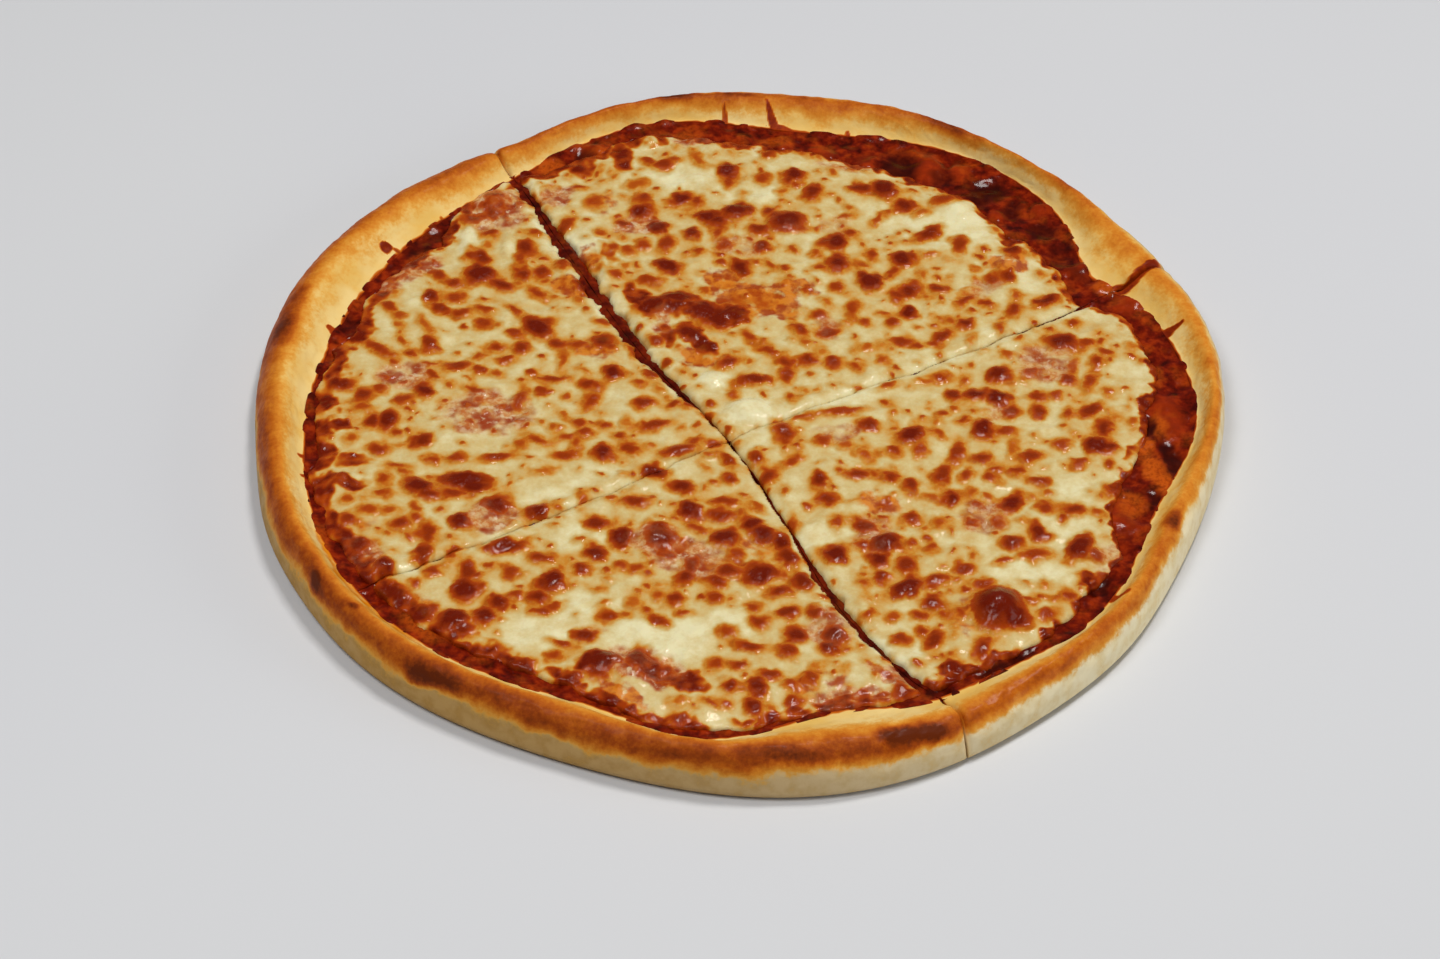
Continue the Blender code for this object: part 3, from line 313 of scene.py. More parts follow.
# The bare sauce along the rim: hollows, which are dips darkened near-black as painted shade, glossy lumps
# and orange, oily places
RING_SHADED_HOLLOWS = (
    (46, 108, 6, 8, 0, 1), (72.3, 97, 6, 7, -40, 1), (88.3, 79, 5, 4, 0, .9), (-50.3, 105.3, 4, 6, 0, .9),
    (120, -22, 2.4, 11, 15, 1), (114, -38, 2, 5, 30, .9), (96.7, -72.3, 2.5, 5, -50, 1),
    (66.7, -105.7, 6, 2, 20, .9), (73.3, -100.3, 5, 2, 30, .9), (114, -8, 2, 4.5, 0, 1),
    (52, -113, 3, 2, 0, .9), (60, 103, 4, 4, 0, .7), (80, 89, 3, 5, -40, .8), (94, 66, 4, 8, 20, .5),
    (-96, 64, 3, 8, -40, .6), (-113, 24, 3, 6, 20, .6), (100, 58, 5, 4, 0, .5), (35, 112, 4, 3, 0, .5),
)
RING_LUMPS = (
    (55.5, 107, 4, 7, 0, .9), (65, 106, 2.5, 3, 0, .8), (82.3, 89.7, 2, 3, 0, .8),
    (88.3, 87.7, 2, 3, 30, .8), (75.3, 85, 2, 4, -40, .8), (111.7, 45, 4, 4, 0, 1), (120, -4, 4.5, 8, 0, 1),
    (36, 109, 3, 6, 0, .9), (-43, 108, 8, 6, 0, 1.2), (103.3, -45, 4, 9, 30, .9), (105, 53.7, 4, 4, 0, .8),
    (-51, 112, 6, 3, 0, .8), (-110, 22, 3, 5, 0, .7), (22, 113, 4, 4, 0, .8), (-28, 118, 5, 3, 0, .7),
    (98, 60, 3, 4, 0, .7),
)
RING_ORANGE = (
    (115, -28, 3, 10, 20, 1), (117, -8, 2.5, 6, 5, .8), (105, 53.7, 3, 4, 0, .8),
    (-61.7, 103.3, 4, 3, 0, .8), (-46, 109, 5, 4, 0, .8), (-20, 121, 5, 3, 0, .5), (8, 119, 6, 3, 0, .5),
    (112, -16, 3, 6, 10, .9), (107, -40, 4, 5, 30, .7), (-113.7, -65, 3, 6, 20, .6), (118, 14, 2, 5, 0, .5),
    (-97, 57, 3, 5, -30, .4), (-30, -119, 9, 3, -40, .8), (-84, -96, 8, 3, -40, .6),
)

# Domes of soft cheese and folds that stand out: x, y, half-length, half-width, direction, height
BULGES = (
    (68.3, -84, 8, 7, 75, 2), (1.5, -8, 8, 6, 0, 1.3), (-9, 5, 5, 4, 20, .8), (-77, 84, 6.5, 6.5, 0, 1.2),
    (-20, 36, 8, 7, 0, .9), (-28, -110, 9, 7, -20, 1.1), (-110, -42, 6, 6, 0, .8), (-70, -53, 6, 6, 0, .8),
    (77.5, 60, 5, 5, 0, 1), (-83, 64, 3, 8, 0, .8), (-71, 62, 2.5, 7, 0, .6), (62, 88, 10, 7, -40, .9),
    (-31, 116, 5, 4, 0, 1), (-46, 66, 4, 8, 40, 1), (24, -88, 8, 6, 0, .6), (39, -60, 5, 4, 30, .6),
    (44, -78, 6, 4, 35, .6), (-35, -108, 6, 5, 0, .8), (-75, -94, 5, 5, 0, .6), (5, -57, 7, 5, -30, .5),
    (-63, -62, 9, 5, 60, .5), (11, 77, 7, 5, 20, .6), (-4, 81, 6, 4, 20, .5), (92, -60, 6, 5, 60, .6),
)

# Sauce baked on to the rim: x and y of both ends, half-width at each end, strength
STAINS = (
    (-106.9, 59.2, -106.7, 59.4, 1.7, 1.7, 1), (-104.5, 59.8, -100, 57.5, .5, 1.2, .7),
    (-119.8, 23, -113.5, 18, .9, 2.6, 1), (-122.5, -31.5, -116, -31, .5, 2.2, 1),
    (-120.6, -39.6, -114, -39, .6, 2.4, 1), (4.8, 132.6, 8, 125, .4, 1.6, 1),
    (8, 125, 16, 121, 1.8, 2.6, .9), (-8.3, 132, -7.5, 124, .4, 1.5, .7),
    (30.2, 124, 30.9, 117, .5, 1.8, 1), (101, 49.2, 112, 51.6, 2.2, 1.7, 1),
    (112, 51.6, 121.2, 58.6, 1.7, 1.9, 1), (115, 30.5, 126, 33, 3.4, .7, 1),
    (102.5, -80.2, 99, -77.5, 1.1, 1.8, .9), (-48.5, 112, -44, 112, 1.2, 2, .9),
    (-118.5, -9, -114, -8, 1.2, 2.8, .9), (-116, -20, -113, -20, .8, 3, .9), (22, 121, 25, 117, 1.2, 3, .9),
    (-17, 126, -17, 121, 2, 4, .8), (117, -2, 121, -3, 2.5, 2, 1), (118, 39, 113, 36, .8, 2.4, .7),
    (-92, 76, -89, 72, .4, 1.5, .6),
)
# Darker places on the rim: x, y, half-length, half-width, direction, strength
RIM_BLOTCHES = (
    (-127.7, 31.9, 7, 4, 70, .5), (-131.7, 16.9, 10, 4, 85, .6), (-78.8, -120.4, 11, 6, -40, .7),
    (-23.6, 133.8, 8, 3, 10, .6), (-5, 136.3, 8, 3, 0, .6), (129.9, 12.9, 4, 3, 0, .6),
    (117, -52, 4.5, 4, 0, .8), (-92, -114, 9, 4, -40, .4), (-52, -134, 14, 4, -20, .6),
    (41, -133, 6, 3, 10, .8), (50, -131, 5, 3, 10, .7), (10, -141, 12, 3, 0, .4), (118, 28, 4, 6, 0, .4),
    (60, 122, 10, 4, -30, .4), (-112, -84, 3, 1.5, -60, .7), (-101, -95, 2, 1, -40, .7),
    (95, 95, 8, 4, -45, .3), (-100, 93, 12, 4, 45, .35), (-66, 116, 6, 3, 30, .3),
)
# Gloss on the browned rim, and oil along its foot: both ends and the half-width at each end
RIM_GLOSS = ((38, -136, 54, -132, 1.8, 1.8), (62, -124, 76, -112, 2, 2), (76, -112, 90, -97, 2.2, 2.2))
RIM_OIL = ((-114, -62, -105, -78, 1, 3.2), (-105, -78, -94, -93, 3.2, 3), (-94, -93, -82, -105, 3, 1))

# Radius that lies on the rim in every direction
MID_RIM_RADIUS = 125.0


def ramp_up(values, low, high):
    """A smooth rise from 0 at low to 1 at high, which may be the smaller one."""
    share = np.clip((values - low) / (high - low), 0, 1)
    return share * share * (3 - 2 * share)


def look_up(table, at):
    """Values from a table of (place, value), with straight lines between its places."""
    return np.interp(at, *zip(*table))


NOISE_CELLS = 64
NOISE_GAIN = 1.5


def waves(x, y, length, seed):
    """Smooth noise between about -1 and 1 with features of this length."""
    turns = np.random.default_rng(seed).uniform(0, 2 * math.pi, (NOISE_CELLS, NOISE_CELLS))
    u, v = x / length, y / length
    cell_u, cell_v = np.floor(u).astype(int), np.floor(v).astype(int)
    u, v = u - cell_u, v - cell_v
    ease_u, ease_v = u**3 * (u * (6 * u - 15) + 10), v**3 * (v * (6 * v - 15) + 10)
    total = np.zeros_like(u)
    for i in (0, 1):
        for j in (0, 1):
            turn = turns[(cell_u + i) % NOISE_CELLS, (cell_v + j) % NOISE_CELLS]
            share = (ease_u if i else 1 - ease_u) * (ease_v if j else 1 - ease_v)
            total += share * (np.cos(turn) * (u - i) + np.sin(turn) * (v - j))
    return NOISE_GAIN * total


def wrapped(degrees):
    """The same directions between -180 and 180."""
    return (degrees + 180) % 360 - 180


def swell(degrees, swells):
    """The sum of smooth swells of (direction, rise, spread) at each direction."""
    total = np.zeros_like(degrees)
    for direction, rise, spread in swells:
        total += rise * np.exp(-((wrapped(degrees - direction) / spread) ** 2))
    return total


def crust_radius(degrees):
    return CRUST_RADIUS + swell(degrees, CRUST_SWELLS)


def foot_radius(degrees):
    return FOOT_RADIUS + swell(degrees, FOOT_SWELLS)


def crest_heights(degrees):
    """Height of the rim's crest in each direction, with the solids' own dents."""
    height, length, seed = CREST_DENT
    x, y = CRUST_RADIUS * np.cos(np.radians(degrees)), CRUST_RADIUS * np.sin(np.radians(degrees))
    dents = [height * noise.noise((p / length, q / length, seed)) for p, q in zip(x, y)]
    return RIM_CREST_Z + swell(degrees, CREST_SWELLS) + np.array(dents)


ROUND = np.arange(-180.0, 540.5, 0.5)
CREST = crest_heights(ROUND)

LINE_STEP = 1.0
# How many steps a cut's line is carried on past its ends
LINE_TAIL = 20


def smooth_line(knots):
    """Points along the same curve through the knots as in the solids, carried on at its ends."""
    knots = [np.array(knot, float) for knot in knots]
    knots = [2 * knots[0] - knots[1], *knots, 2 * knots[-1] - knots[-2]]
    line = []
    for before, start, end, after in zip(knots, knots[1:], knots[2:], knots[3:]):
        count = max(2, round(float(np.linalg.norm(end - start)) / LINE_STEP))
        for i in range(count):
            t = i / count
            line.append(
                start
                + (end - before) * (t * (1 - t) ** 2 / 2)
                + (end - start) * (t * t * (3 - 2 * t))
                - (after - start) * (t * t * (1 - t) / 2)
            )
    line.append(knots[-2])
    first = line[0] + LINE_TAIL * (line[0] - line[1])
    last = line[-1] + LINE_TAIL * (line[-1] - line[-2])
    return np.array([first, *line, last])


LINE_A = smooth_line(CUT_A)
LINE_B = smooth_line(CUT_B)


def beside(place, across, line):
    """Distance across a line of (place, value), from the value at each place and its slope."""
    away = across - np.interp(place, line[:, 0], line[:, 1])
    slope = np.interp(place, line[:, 0], np.gradient(line[:, 1], line[:, 0]))
    return away / np.sqrt(1 + slope**2)


def east_of_a(x, y):
    """Distance to the first cut, positive on its right."""
    return beside(y, x, LINE_A[::-1, ::-1])


def north_of_b(x, y):
    """Distance to the second cut, positive behind it."""
    return beside(x, y, LINE_B)


# The side of each cut that a slice lies on
SLICES = {"left": (-1, 1), "front": (-1, -1), "right": (1, -1), "back": (1, 1)}


def cut_distances(name, grid, gap_a, gap_b):
    """Distances into a slice from its two cuts, whose edges waver more where the gap is wide."""
    side_a, side_b = SLICES[name]
    wobble = 0.6 * grid.waves(7, 41 + side_a) + 0.4 * grid.waves(2.6, 44 + side_b)
    from_a = side_a * east_of_a(grid.x, grid.y) - gap_a * (1 + wobble) - 0.25 * wobble
    from_b = side_b * north_of_b(grid.x, grid.y) - gap_b * (1 + wobble) - 0.8 * side_b * grid.waves(9, 45)
    return from_a, from_b


class Grid:
    """A square grid over the plan."""

    def __init__(self, step):
        self.step = step
        steps = np.arange(-GRID_REACH, GRID_REACH + step, step)
        self.x, self.y = np.meshgrid(steps, steps, indexing="ij")
        self.radius = np.hypot(self.x, self.y)
        self.degrees = np.degrees(np.arctan2(self.y, self.x))

    def waves(self, length, seed):
        return waves(self.x, self.y, length, seed)

    def window(self, x, y, reach):
        """The slices of the grid's arrays that cover a square round a point."""
        size = self.x.shape[0]
        spans = []
        for value in (x, y):
            low = int((value - reach + GRID_REACH) / self.step)
            high = int((value + reach + GRID_REACH) / self.step) + 2
            spans.append(slice(max(low, 0), min(high, size)))
        return tuple(spans)


def oval_distance(x, y, oval):
    """1 on the outline of an oval of (x, y, half-length, half-width, degrees)."""
    turn = math.radians(oval[4])
    u, v = x - oval[0], y - oval[1]
    along = u * math.cos(turn) + v * math.sin(turn)
    across = v * math.cos(turn) - u * math.sin(turn)
    return np.hypot(along / oval[2], across / oval[3])


SMALL_BLISTERS = 700
SMALL_TRIES = 6 * SMALL_BLISTERS
SMALL_SEED = 11
SMALL_REACH = 130
SMALL_SPACING = 0.3


def small_blisters(large, is_free):
    """Seeded little blisters between the large ones, fewer where the cheese is white."""
    rng = np.random.default_rng(SMALL_SEED)
    found = []
    taken = [(b[0], b[1], max(b[2], b[3])) for b in large]
    for _ in range(SMALL_TRIES):
        x, y = rng.uniform(-SMALL_REACH, SMALL_REACH, 2)
        length = min(max(rng.lognormal(0.2, 0.36), 0.7), 2.4)
        width = length * rng.uniform(0.55, 0.95)
        turn = rng.uniform(0, 180)
        depth = rng.uniform(0.3, 0.85)
        chance = rng.uniform()
        if len(found) == SMALL_BLISTERS or not is_free(x, y, length):
            continue
        white = max(area[5] * float(oval_distance(x, y, area) < 1.0) for area in WHITE_AREAS)
        if chance < white:
            continue
        if any(math.hypot(x - p, y - q) < 0.9 * r + length + SMALL_SPACING for p, q, r in taken):
            continue
        taken.append((x, y, length))
        found.append((x, y, length, width, turn, depth))
    return found


LOBE_SEED = 12
LOBES_EACH = 2
LOBE_PLACE = 0.85
SMALLEST_LOBE = 0.6


def lobes(large):
    """Seeded lobes on each large blister, so that none is a plain oval."""
    rng = np.random.default_rng(LOBE_SEED)
    found = []
    for x, y, length, width, turn, depth in large:
        for _ in range(LOBES_EACH):
            around, share = rng.uniform(0, 2 * math.pi), rng.uniform(0.4, 0.75)
            along = LOBE_PLACE * length * math.cos(around)
            across = LOBE_PLACE * width * math.sin(around)
            tilt = math.radians(turn)
            place = (
                x + along * math.cos(tilt) - across * math.sin(tilt),
                y + along * math.sin(tilt) + across * math.cos(tilt),
            )
            size = max(share * width, SMALLEST_LOBE)
            found.append((*place, 1.3 * size, 0.9 * size, rng.uniform(0, 180), depth * rng.uniform(0.7, 1)))
    return found


# A soft area fades out between these sizes of its oval
AREA_FADE = (1.35, 0.55)


def soft_areas(grid, areas, seed):
    """The strongest of some soft, ragged areas at each point, and 0 away from them."""
    strongest = np.zeros_like(grid.x)
    ragged_x = 1.8 * grid.waves(6, seed) + 0.8 * grid.waves(2.2, seed + 1)
    ragged_y = 1.8 * grid.waves(6, seed + 2) + 0.8 * grid.waves(2.2, seed + 3)
    for *oval, strength in areas:
        at = grid.window(oval[0], oval[1], 1.6 * max(oval[2:4]) + 3)
        far = oval_distance(grid.x[at] + ragged_x[at], grid.y[at] + ragged_y[at], oval)
        strongest[at] = np.maximum(strongest[at], strength * ramp_up(far, *AREA_FADE))
    return strongest


def blur(values, cells):
    """A running mean, twice each way."""
    width = 2 * cells + 1
    for axis in (0, 1, 0, 1):
        margins = [(cells + 1, cells) if a == axis else (0, 0) for a in (0, 1)]
        sums = np.cumsum(np.pad(values, margins), axis)
        size = values.shape[axis]
        high = np.take(sums, range(width, width + size), axis)
        values = (high - np.take(sums, range(size), axis)) / width
    return values


# How far a blister's brown skin reaches past its oval, and how far its dome reaches past that
SKIN_REACH = 1.12
DOME_REACH = 1.15


def brown_fields(grid, blisters):
    """Darkness of the browning, the golden halos round it, and the height of all blisters."""
    shift_x = 0.75 * grid.waves(3.4, 21) + 0.3 * grid.waves(1.4, 22)
    shift_y = 0.75 * grid.waves(3.4, 23) + 0.3 * grid.waves(1.4, 24)
    spread = 0.8 + 0.4 * grid.waves(6, 25)
    core, clear, dome = np.zeros_like(grid.x), np.ones_like(grid.x), np.zeros_like(grid.x)
    for *oval, depth in blisters:
        half_width = min(oval[2:4])
        at = grid.window(oval[0], oval[1], 1.2 * max(oval[2:4]) + 4)
        far = oval_distance(grid.x[at] + shift_x[at], grid.y[at] + shift_y[at], oval) / SKIN_REACH
        out = (far - 1) * half_width
        tone = 0.7 * ramp_up(out, 0.4, -0.25) + 0.3 * ramp_up(out, 0.1, -0.7 * half_width)
        darkness = 0.22 + 0.56 * depth + 0.1 * min(half_width, 3)
        core[at] = np.maximum(core[at], darkness * tone)
        halo = min(0.5 + 0.3 * half_width, 1) * np.exp(-((np.clip(out, 0, 9) / spread[at]) ** 2))
        halo *= 0.4 + 0.4 * depth
        clear[at] *= 1 - halo
        height = (0.22 + 0.21 * half_width) * (0.4 + 0.6 * depth)
        dome[at] = np.maximum(dome[at], height * np.sqrt(np.clip(1 - (far / DOME_REACH) ** 2, 0, 1)))
    return core, 1 - clear, dome


BULGE_GAIN = 1.5
BULGE_POWER = 1.5


def bulges(grid):
    """Height of the domes of soft cheese and the folds that stand out."""
    total = np.zeros_like(grid.x)
    for *oval, height in BULGES:
        far = oval_distance(grid.x, grid.y, oval)
        total += BULGE_GAIN * height * np.clip(1 - far * far, 0, 1) ** BULGE_POWER
    return total


def cheese_waves(grid):
    """Slow swells, creases and lumps of melted cheese."""
    bent_x = grid.x + 3 * grid.waves(16, 31)
    bent_y = grid.y + 3 * grid.waves(16, 32)
    slow = 0.45 * grid.waves(21, 33) + 0.42 * grid.waves(9, 34)
    folds = 0.7 * (0.35 - np.abs(waves(bent_x, 1.6 * bent_y, 13, 35)))
    lumps = 0.2 * waves(bent_x, bent_y, 4.5, 36) + 0.05 * grid.waves(1.9, 37)
    return slow + folds + lumps


def cheese_edge(grid):
    """Distance inwards from the cheese's outer edge, which has drips and bays."""
    edge = foot_radius(grid.degrees) - look_up(BARE_SAUCE, grid.degrees)
    ragged = 0.9 * grid.waves(8, 51) + 1.0 * grid.waves(5, 52)
    return edge - grid.radius + ragged


def cheese_surface(grid, edge):
    """Height of the whole cheese before it is cut, and the fields that colour it."""

    def is_free(x, y, length):
        i, j = (int(round((value + GRID_REACH) / GRID_STEP)) for value in (x, y))
        return edge[i, j] > 1.2 * length

    large = BLISTERS_LEFT + BLISTERS_FRONT + BLISTERS_RIGHT + BLISTERS_BACK
    blisters = large + tuple(lobes(large) + small_blisters(large, is_free))
    brown, halo, dome = brown_fields(grid, blisters)
    rough_edge = edge + 2.2 * grid.waves(5, 62) + 1.0 * grid.waves(2, 63)
    reach = CRUSTY_BASE + swell(grid.degrees, CRUSTY_REACH)
    crusty = ramp_up(rough_edge / reach, 1.3, 0.5) * ramp_up(grid.waves(9, 61), -0.7, 0)
    crusty = np.maximum(crusty, soft_areas(grid, CRUSTY_AREAS, 101))
    mottled = crusty * (0.9 + 0.3 * grid.waves(3.4, 64) + 0.08 * grid.waves(1.5, 65))
    mauve = soft_areas(grid, MAUVE_AREAS, 71)
    streaks = waves(0.8 * grid.x, 1.1 * grid.y, 4.6, 66) + 0.5 * grid.waves(2.1, 67)
    white = soft_areas(grid, WHITE_AREAS, 91)
    haze = np.clip(1.0 * blur(brown, 6) + 0.5 * blur(brown, 14), 0, 1)
    base = 0.18 + 0.08 * grid.waves(13, 68) + 0.08 * grid.waves(4, 69) - 0.17 * white
    base = base + 0.22 * haze * (1 - 0.4 * white)
    pale = np.clip(base, 0.02, 1) + (0.63 - base) * halo
    fields = {
        "tone": np.clip(np.maximum(np.maximum(pale, brown), mottled), 0, 1),
        "brown": np.clip(np.maximum(brown, mottled), 0, 1),
        "mauve": mauve,
        "red": np.clip(1.3 * mauve, 0, 1) * ramp_up(streaks, -0.9, 0.9),
        "orange": soft_areas(grid, ORANGE_AREAS, 81),
    }
    wrinkles = 0.08 * grid.waves(1.9, 39) + 0.34 * grid.waves(3.8, 40)
    height = CHEESE_Z + cheese_waves(grid) + bulges(grid) + dome
    height += 0.16 * grid.waves(1.7, 38) * fields["brown"] + wrinkles * np.maximum(mauve, crusty)
    height -= 0.35 * mauve
    return height, fields


# A grid point this many steps from an outline is moved on to it, or left out
ON_OUTLINE = 0.6


def patch_mesh(grid, inside, height, bottom, fields, stride=1):
    """A closed mesh over the grid points where inside is positive: points, faces and fields.

    Points near the edge are moved on to it, and a wall goes down from it to a flat bottom.
    """
    step = grid.step * stride
    x, y, inside, height = (values[::stride, ::stride] for values in (grid.x, grid.y, inside, height))
    slope_x, slope_y = np.gradient(inside, step)
    steep = np.maximum(slope_x**2 + slope_y**2, 0.25)
    near = np.abs(inside) < ON_OUTLINE * step
    x = np.where(near, x - inside * slope_x / steep, x)
    y = np.where(near, y - inside * slope_y / steep, y)
    size = inside.shape
    index = np.arange(size[0] * size[1]).reshape(size)
    ways = ((0, 0), (1, 0), (1, 1), (0, 1))
    corners = [index[i : size[0] - 1 + i, j : size[1] - 1 + j] for i, j in ways]
    corners = np.stack(corners, axis=-1).reshape(-1, 4)
    good = (inside > -ON_OUTLINE * step).reshape(-1)[corners]
    count = good.sum(axis=1)
    partial = corners[count == 3]
    missing = np.argmin(good[count == 3], axis=1)
    rows = np.arange(len(partial))[:, None]
    triangles = partial[rows, (missing[:, None] + np.array([1, 2, 3])) % 4]
    surface = np.stack([x.reshape(-1), y.reshape(-1), height.reshape(-1)], 1)
    points, faces, places = close_mesh(surface, corners[count == 4], triangles, bottom)
    fields = {key: values[::stride, ::stride].reshape(-1)[places] for key, values in fields.items()}
    return points, faces, fields


def outlines(faces):
    """The closed loops of points round arrays of faces."""
    edges = [np.stack([face[:, i], face[:, (i + 1) % face.shape[1]]], 1)
             for face in faces for i in range(face.shape[1])]
    edges = np.concatenate(edges)
    size = edges.max() + 1
    keys = edges[:, 0] * size + edges[:, 1]
    reverse = edges[:, 1] * size + edges[:, 0]
    follow = {}
    for start, end in edges[~np.isin(keys, reverse)].tolist():
        follow.setdefault(start, []).append(end)
    loops = []
    while follow:
        start = next(iter(follow))
        loop = [start]
        while True:
            ends = follow[loop[-1]]
            end = ends.pop()
            if not ends:
                del follow[loop[-1]]
            if end == start:
                break
            loop.append(end)
        loops.append(loop)
    return loops


def close_mesh(surface, quads, triangles, bottom):
    """Adds a wall and a bottom under every outline: points, faces and each point's old place."""
    places, index = np.unique(np.concatenate([quads.ravel(), triangles.ravel()]), return_inverse=True)
    quads, triangles = index[: quads.size].reshape(-1, 4), index[quads.size :].reshape(-1, 3)
    faces = [tuple(face) for face in quads.tolist()] + [tuple(face) for face in triangles.tolist()]
    points = surface[places]
    for loop in outlines((quads, triangles)):
        base, count = len(points), len(loop)
        under = points[loop]
        under[:, 2] = bottom
        points = np.concatenate([points, under])
        places = np.concatenate([places, places[loop]])
        for i in range(count):
            j = (i + 1) % count
            faces.append((loop[j], loop[i], base + i, base + j))
        faces.append(tuple(base + i for i in reversed(range(count))))
    return points, faces, places


SHARP_ANGLE = 60


def add_piece(name, points, faces, material, fields, replaced):
    """Makes an object on the part's body from plan points in mm and one value a point a field."""
    mesh = bpy.data.meshes.new(name)
    moved = np.array(points, float)
    moved[:, 0] += PLAN_TO_FRAME[0]
    moved[:, 1] += PLAN_TO_FRAME[1]
    mesh.from_pydata((moved * MM).tolist(), [], faces)
    for key, values in fields.items():
        attribute = mesh.attributes.new(key, "FLOAT", "POINT")
        attribute.data.foreach_set("value", np.asarray(values, np.float32))
    mesh.materials.append(material)
    mesh.shade_smooth()
    mesh.set_sharp_from_angle(angle=math.radians(SHARP_ANGLE))
    obj = bpy.data.objects.new(name, mesh)
    bpy.context.scene.collection.objects.link(obj)
    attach(obj, "root")
    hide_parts(*replaced)
    return obj


CUT_LIP = 2.4
EDGE_LIP = 1.2
EDGE_TAPER = (0.7, 7.0)
LOWEST_LIP_Z = CHEESE_BOTTOM_Z + 0.15
# A low swell beside the cuts: its height, its distance from them and how wide it is
CUT_SWELL = (0.3, 3.4, 3)
# The paler stretch beside a cut, from where it starts to where it is full
LIP_FADE = (3.2, 0.8)


def rounded(distance, radius):
    """Fall of a rounded lip at a distance from its edge, from 1 at the edge to 0."""
    left = 1 - np.clip(distance / radius, 0, 1)
    return 1 - np.sqrt(1 - left**2)


def add_cheese(grid, edge, material):
    whole, fields = cheese_surface(grid, edge)
    gap_a, lip_a = (look_up(table, grid.y) for table in (CHEESE_GAPS_A, LIPS_A))
    gap_b, lip_b = (look_up(table, grid.x) for table in (CHEESE_GAPS_B, LIPS_B))
    for name in SLICES:
        from_a, from_b = cut_distances(name, grid, gap_a, gap_b)
        cut = np.minimum(from_a, from_b)
        fall = lip_a * rounded(from_a, CUT_LIP) + lip_b * rounded(from_b, CUT_LIP)
        fall += EDGE_LIP * rounded(edge, EDGE_LIP) + EDGE_TAPER[0] * ramp_up(edge, EDGE_TAPER[1], 0)
        swelling = CUT_SWELL[0] * np.exp(-((cut - CUT_SWELL[1]) ** 2) / CUT_SWELL[2])
        height = np.maximum(whole + swelling - fall, LOWEST_LIP_Z)
        fields["lip"] = ramp_up(cut, *LIP_FADE)
        inside = np.minimum(cut, edge)
        points, faces, values = patch_mesh(grid, inside, height, CHEESE_BOTTOM_Z, fields)
        add_piece("melted_cheese_" + name, points, faces, material, values, ["cheese_" + name])


SAUCE_OVER_FOOT = 1.2


def add_sauce(grid, edge, material):
    foot = foot_radius(grid.degrees) - grid.radius
    beside_a = np.abs(east_of_a(grid.x, grid.y))
    beside_b = np.abs(north_of_b(grid.x, grid.y))
    lumps = 0.7 * grid.waves(8, 101) + 0.42 * grid.waves(4.2, 102) + 0.05 * grid.waves(1.8, 103)
    # Dips in the sauce, which the shader also darkens near-black as painted shade
    shaded_hollow = soft_areas(grid, RING_SHADED_HOLLOWS, 111)
    raised = soft_areas(grid, RING_LUMPS, 121)
    ring = SAUCE_RING_Z + lumps + 0.5 * ramp_up(foot, 1.6, -0.5) + 0.8 * raised - 0.7 * shaded_hollow
    height = SAUCE_Z + (ring - SAUCE_Z) * ramp_up(edge, 1.8, 0.6)
    squeezed = np.maximum(1.9 * ramp_up(beside_b, 1.6, 0.6), 1.4 * ramp_up(beside_a, 3.4, 2.2))
    height = np.maximum(height, SAUCE_Z + squeezed + 0.2 * grid.waves(2.5, 106))
    # Painted shade: the sauce down in the gap of the first cut is darkened
    shaded = 0.55 * ramp_up(beside_a, 2.6, 0.8) * ramp_up(edge, 0, 4)
    pale = 0.3 * ramp_up(grid.waves(8, 104) + 0.5 * grid.waves(3, 105), 0.1, 0.7)
    pale = np.maximum(pale, soft_areas(grid, RING_ORANGE, 131)) * (1 - shaded_hollow)
    fields = {"pale": pale, "shaded_hollow": np.maximum(shaded_hollow, shaded), "raised": raised}
    for name in SLICES:
        cut = np.minimum(*cut_distances(name, grid, SAUCE_HALF_GAP, SAUCE_HALF_GAP))
        inside = np.minimum(cut, foot + SAUCE_OVER_FOOT)
        points, faces, values = patch_mesh(grid, inside, height, SAUCE_BOTTOM_Z, fields, SAUCE_STRIDE)
        add_piece("tomato_sauce_" + name, points, faces, material, values, ["sauce_" + name])


# The crust's section in rows: along its underside, round its heel, up its outside to the crest,
# down its inner slope, and along its foot under the sauce
UNDERSIDE, HEEL_BEND, OUTSIDE, SLOPE, FOOT = range(5)
HEEL = 1.6
SHOULDER_Z = 2.2
CREST_INSET = 8.5
CREST_SHARE = 0.46
BASE_OVERLAP = 1.6
HEEL_STEPS = 5
OUTSIDE_STEPS = 30
SLOPE_STEPS = 26
FOOT_SHARES = (0, 0.12, 0.3, 0.6, 1)
STATION_STEP = 0.55
END_ROUNDING = 2.6
# Passes that settle each row's ends on the cuts
END_PASSES = 4


def crust_rows():
    """The kind of each row, its share of that stretch, and its place on the section.

    The place is -2 under the rim, -1 at the bottom of its outer side, 0 on its crest and 1 at its
    inner foot.
    """
    rows = [(UNDERSIDE, 0.0)]
    for kind, steps in ((HEEL_BEND, HEEL_STEPS), (OUTSIDE, OUTSIDE_STEPS), (SLOPE, SLOPE_STEPS)):
        rows += [(kind, i / steps) for i in range(steps)]
    rows += [(FOOT, share) for share in FOOT_SHARES]
    kinds, shares = (np.array(values) for values in zip(*rows))
    before_foot = [kinds == kind for kind in (UNDERSIDE, HEEL_BEND, OUTSIDE, SLOPE)]
    section = np.select(before_foot, [-2.0, -2 + shares, -1 + shares, shares], 1.0 + 0.2 * shares)
    return kinds, shares, section


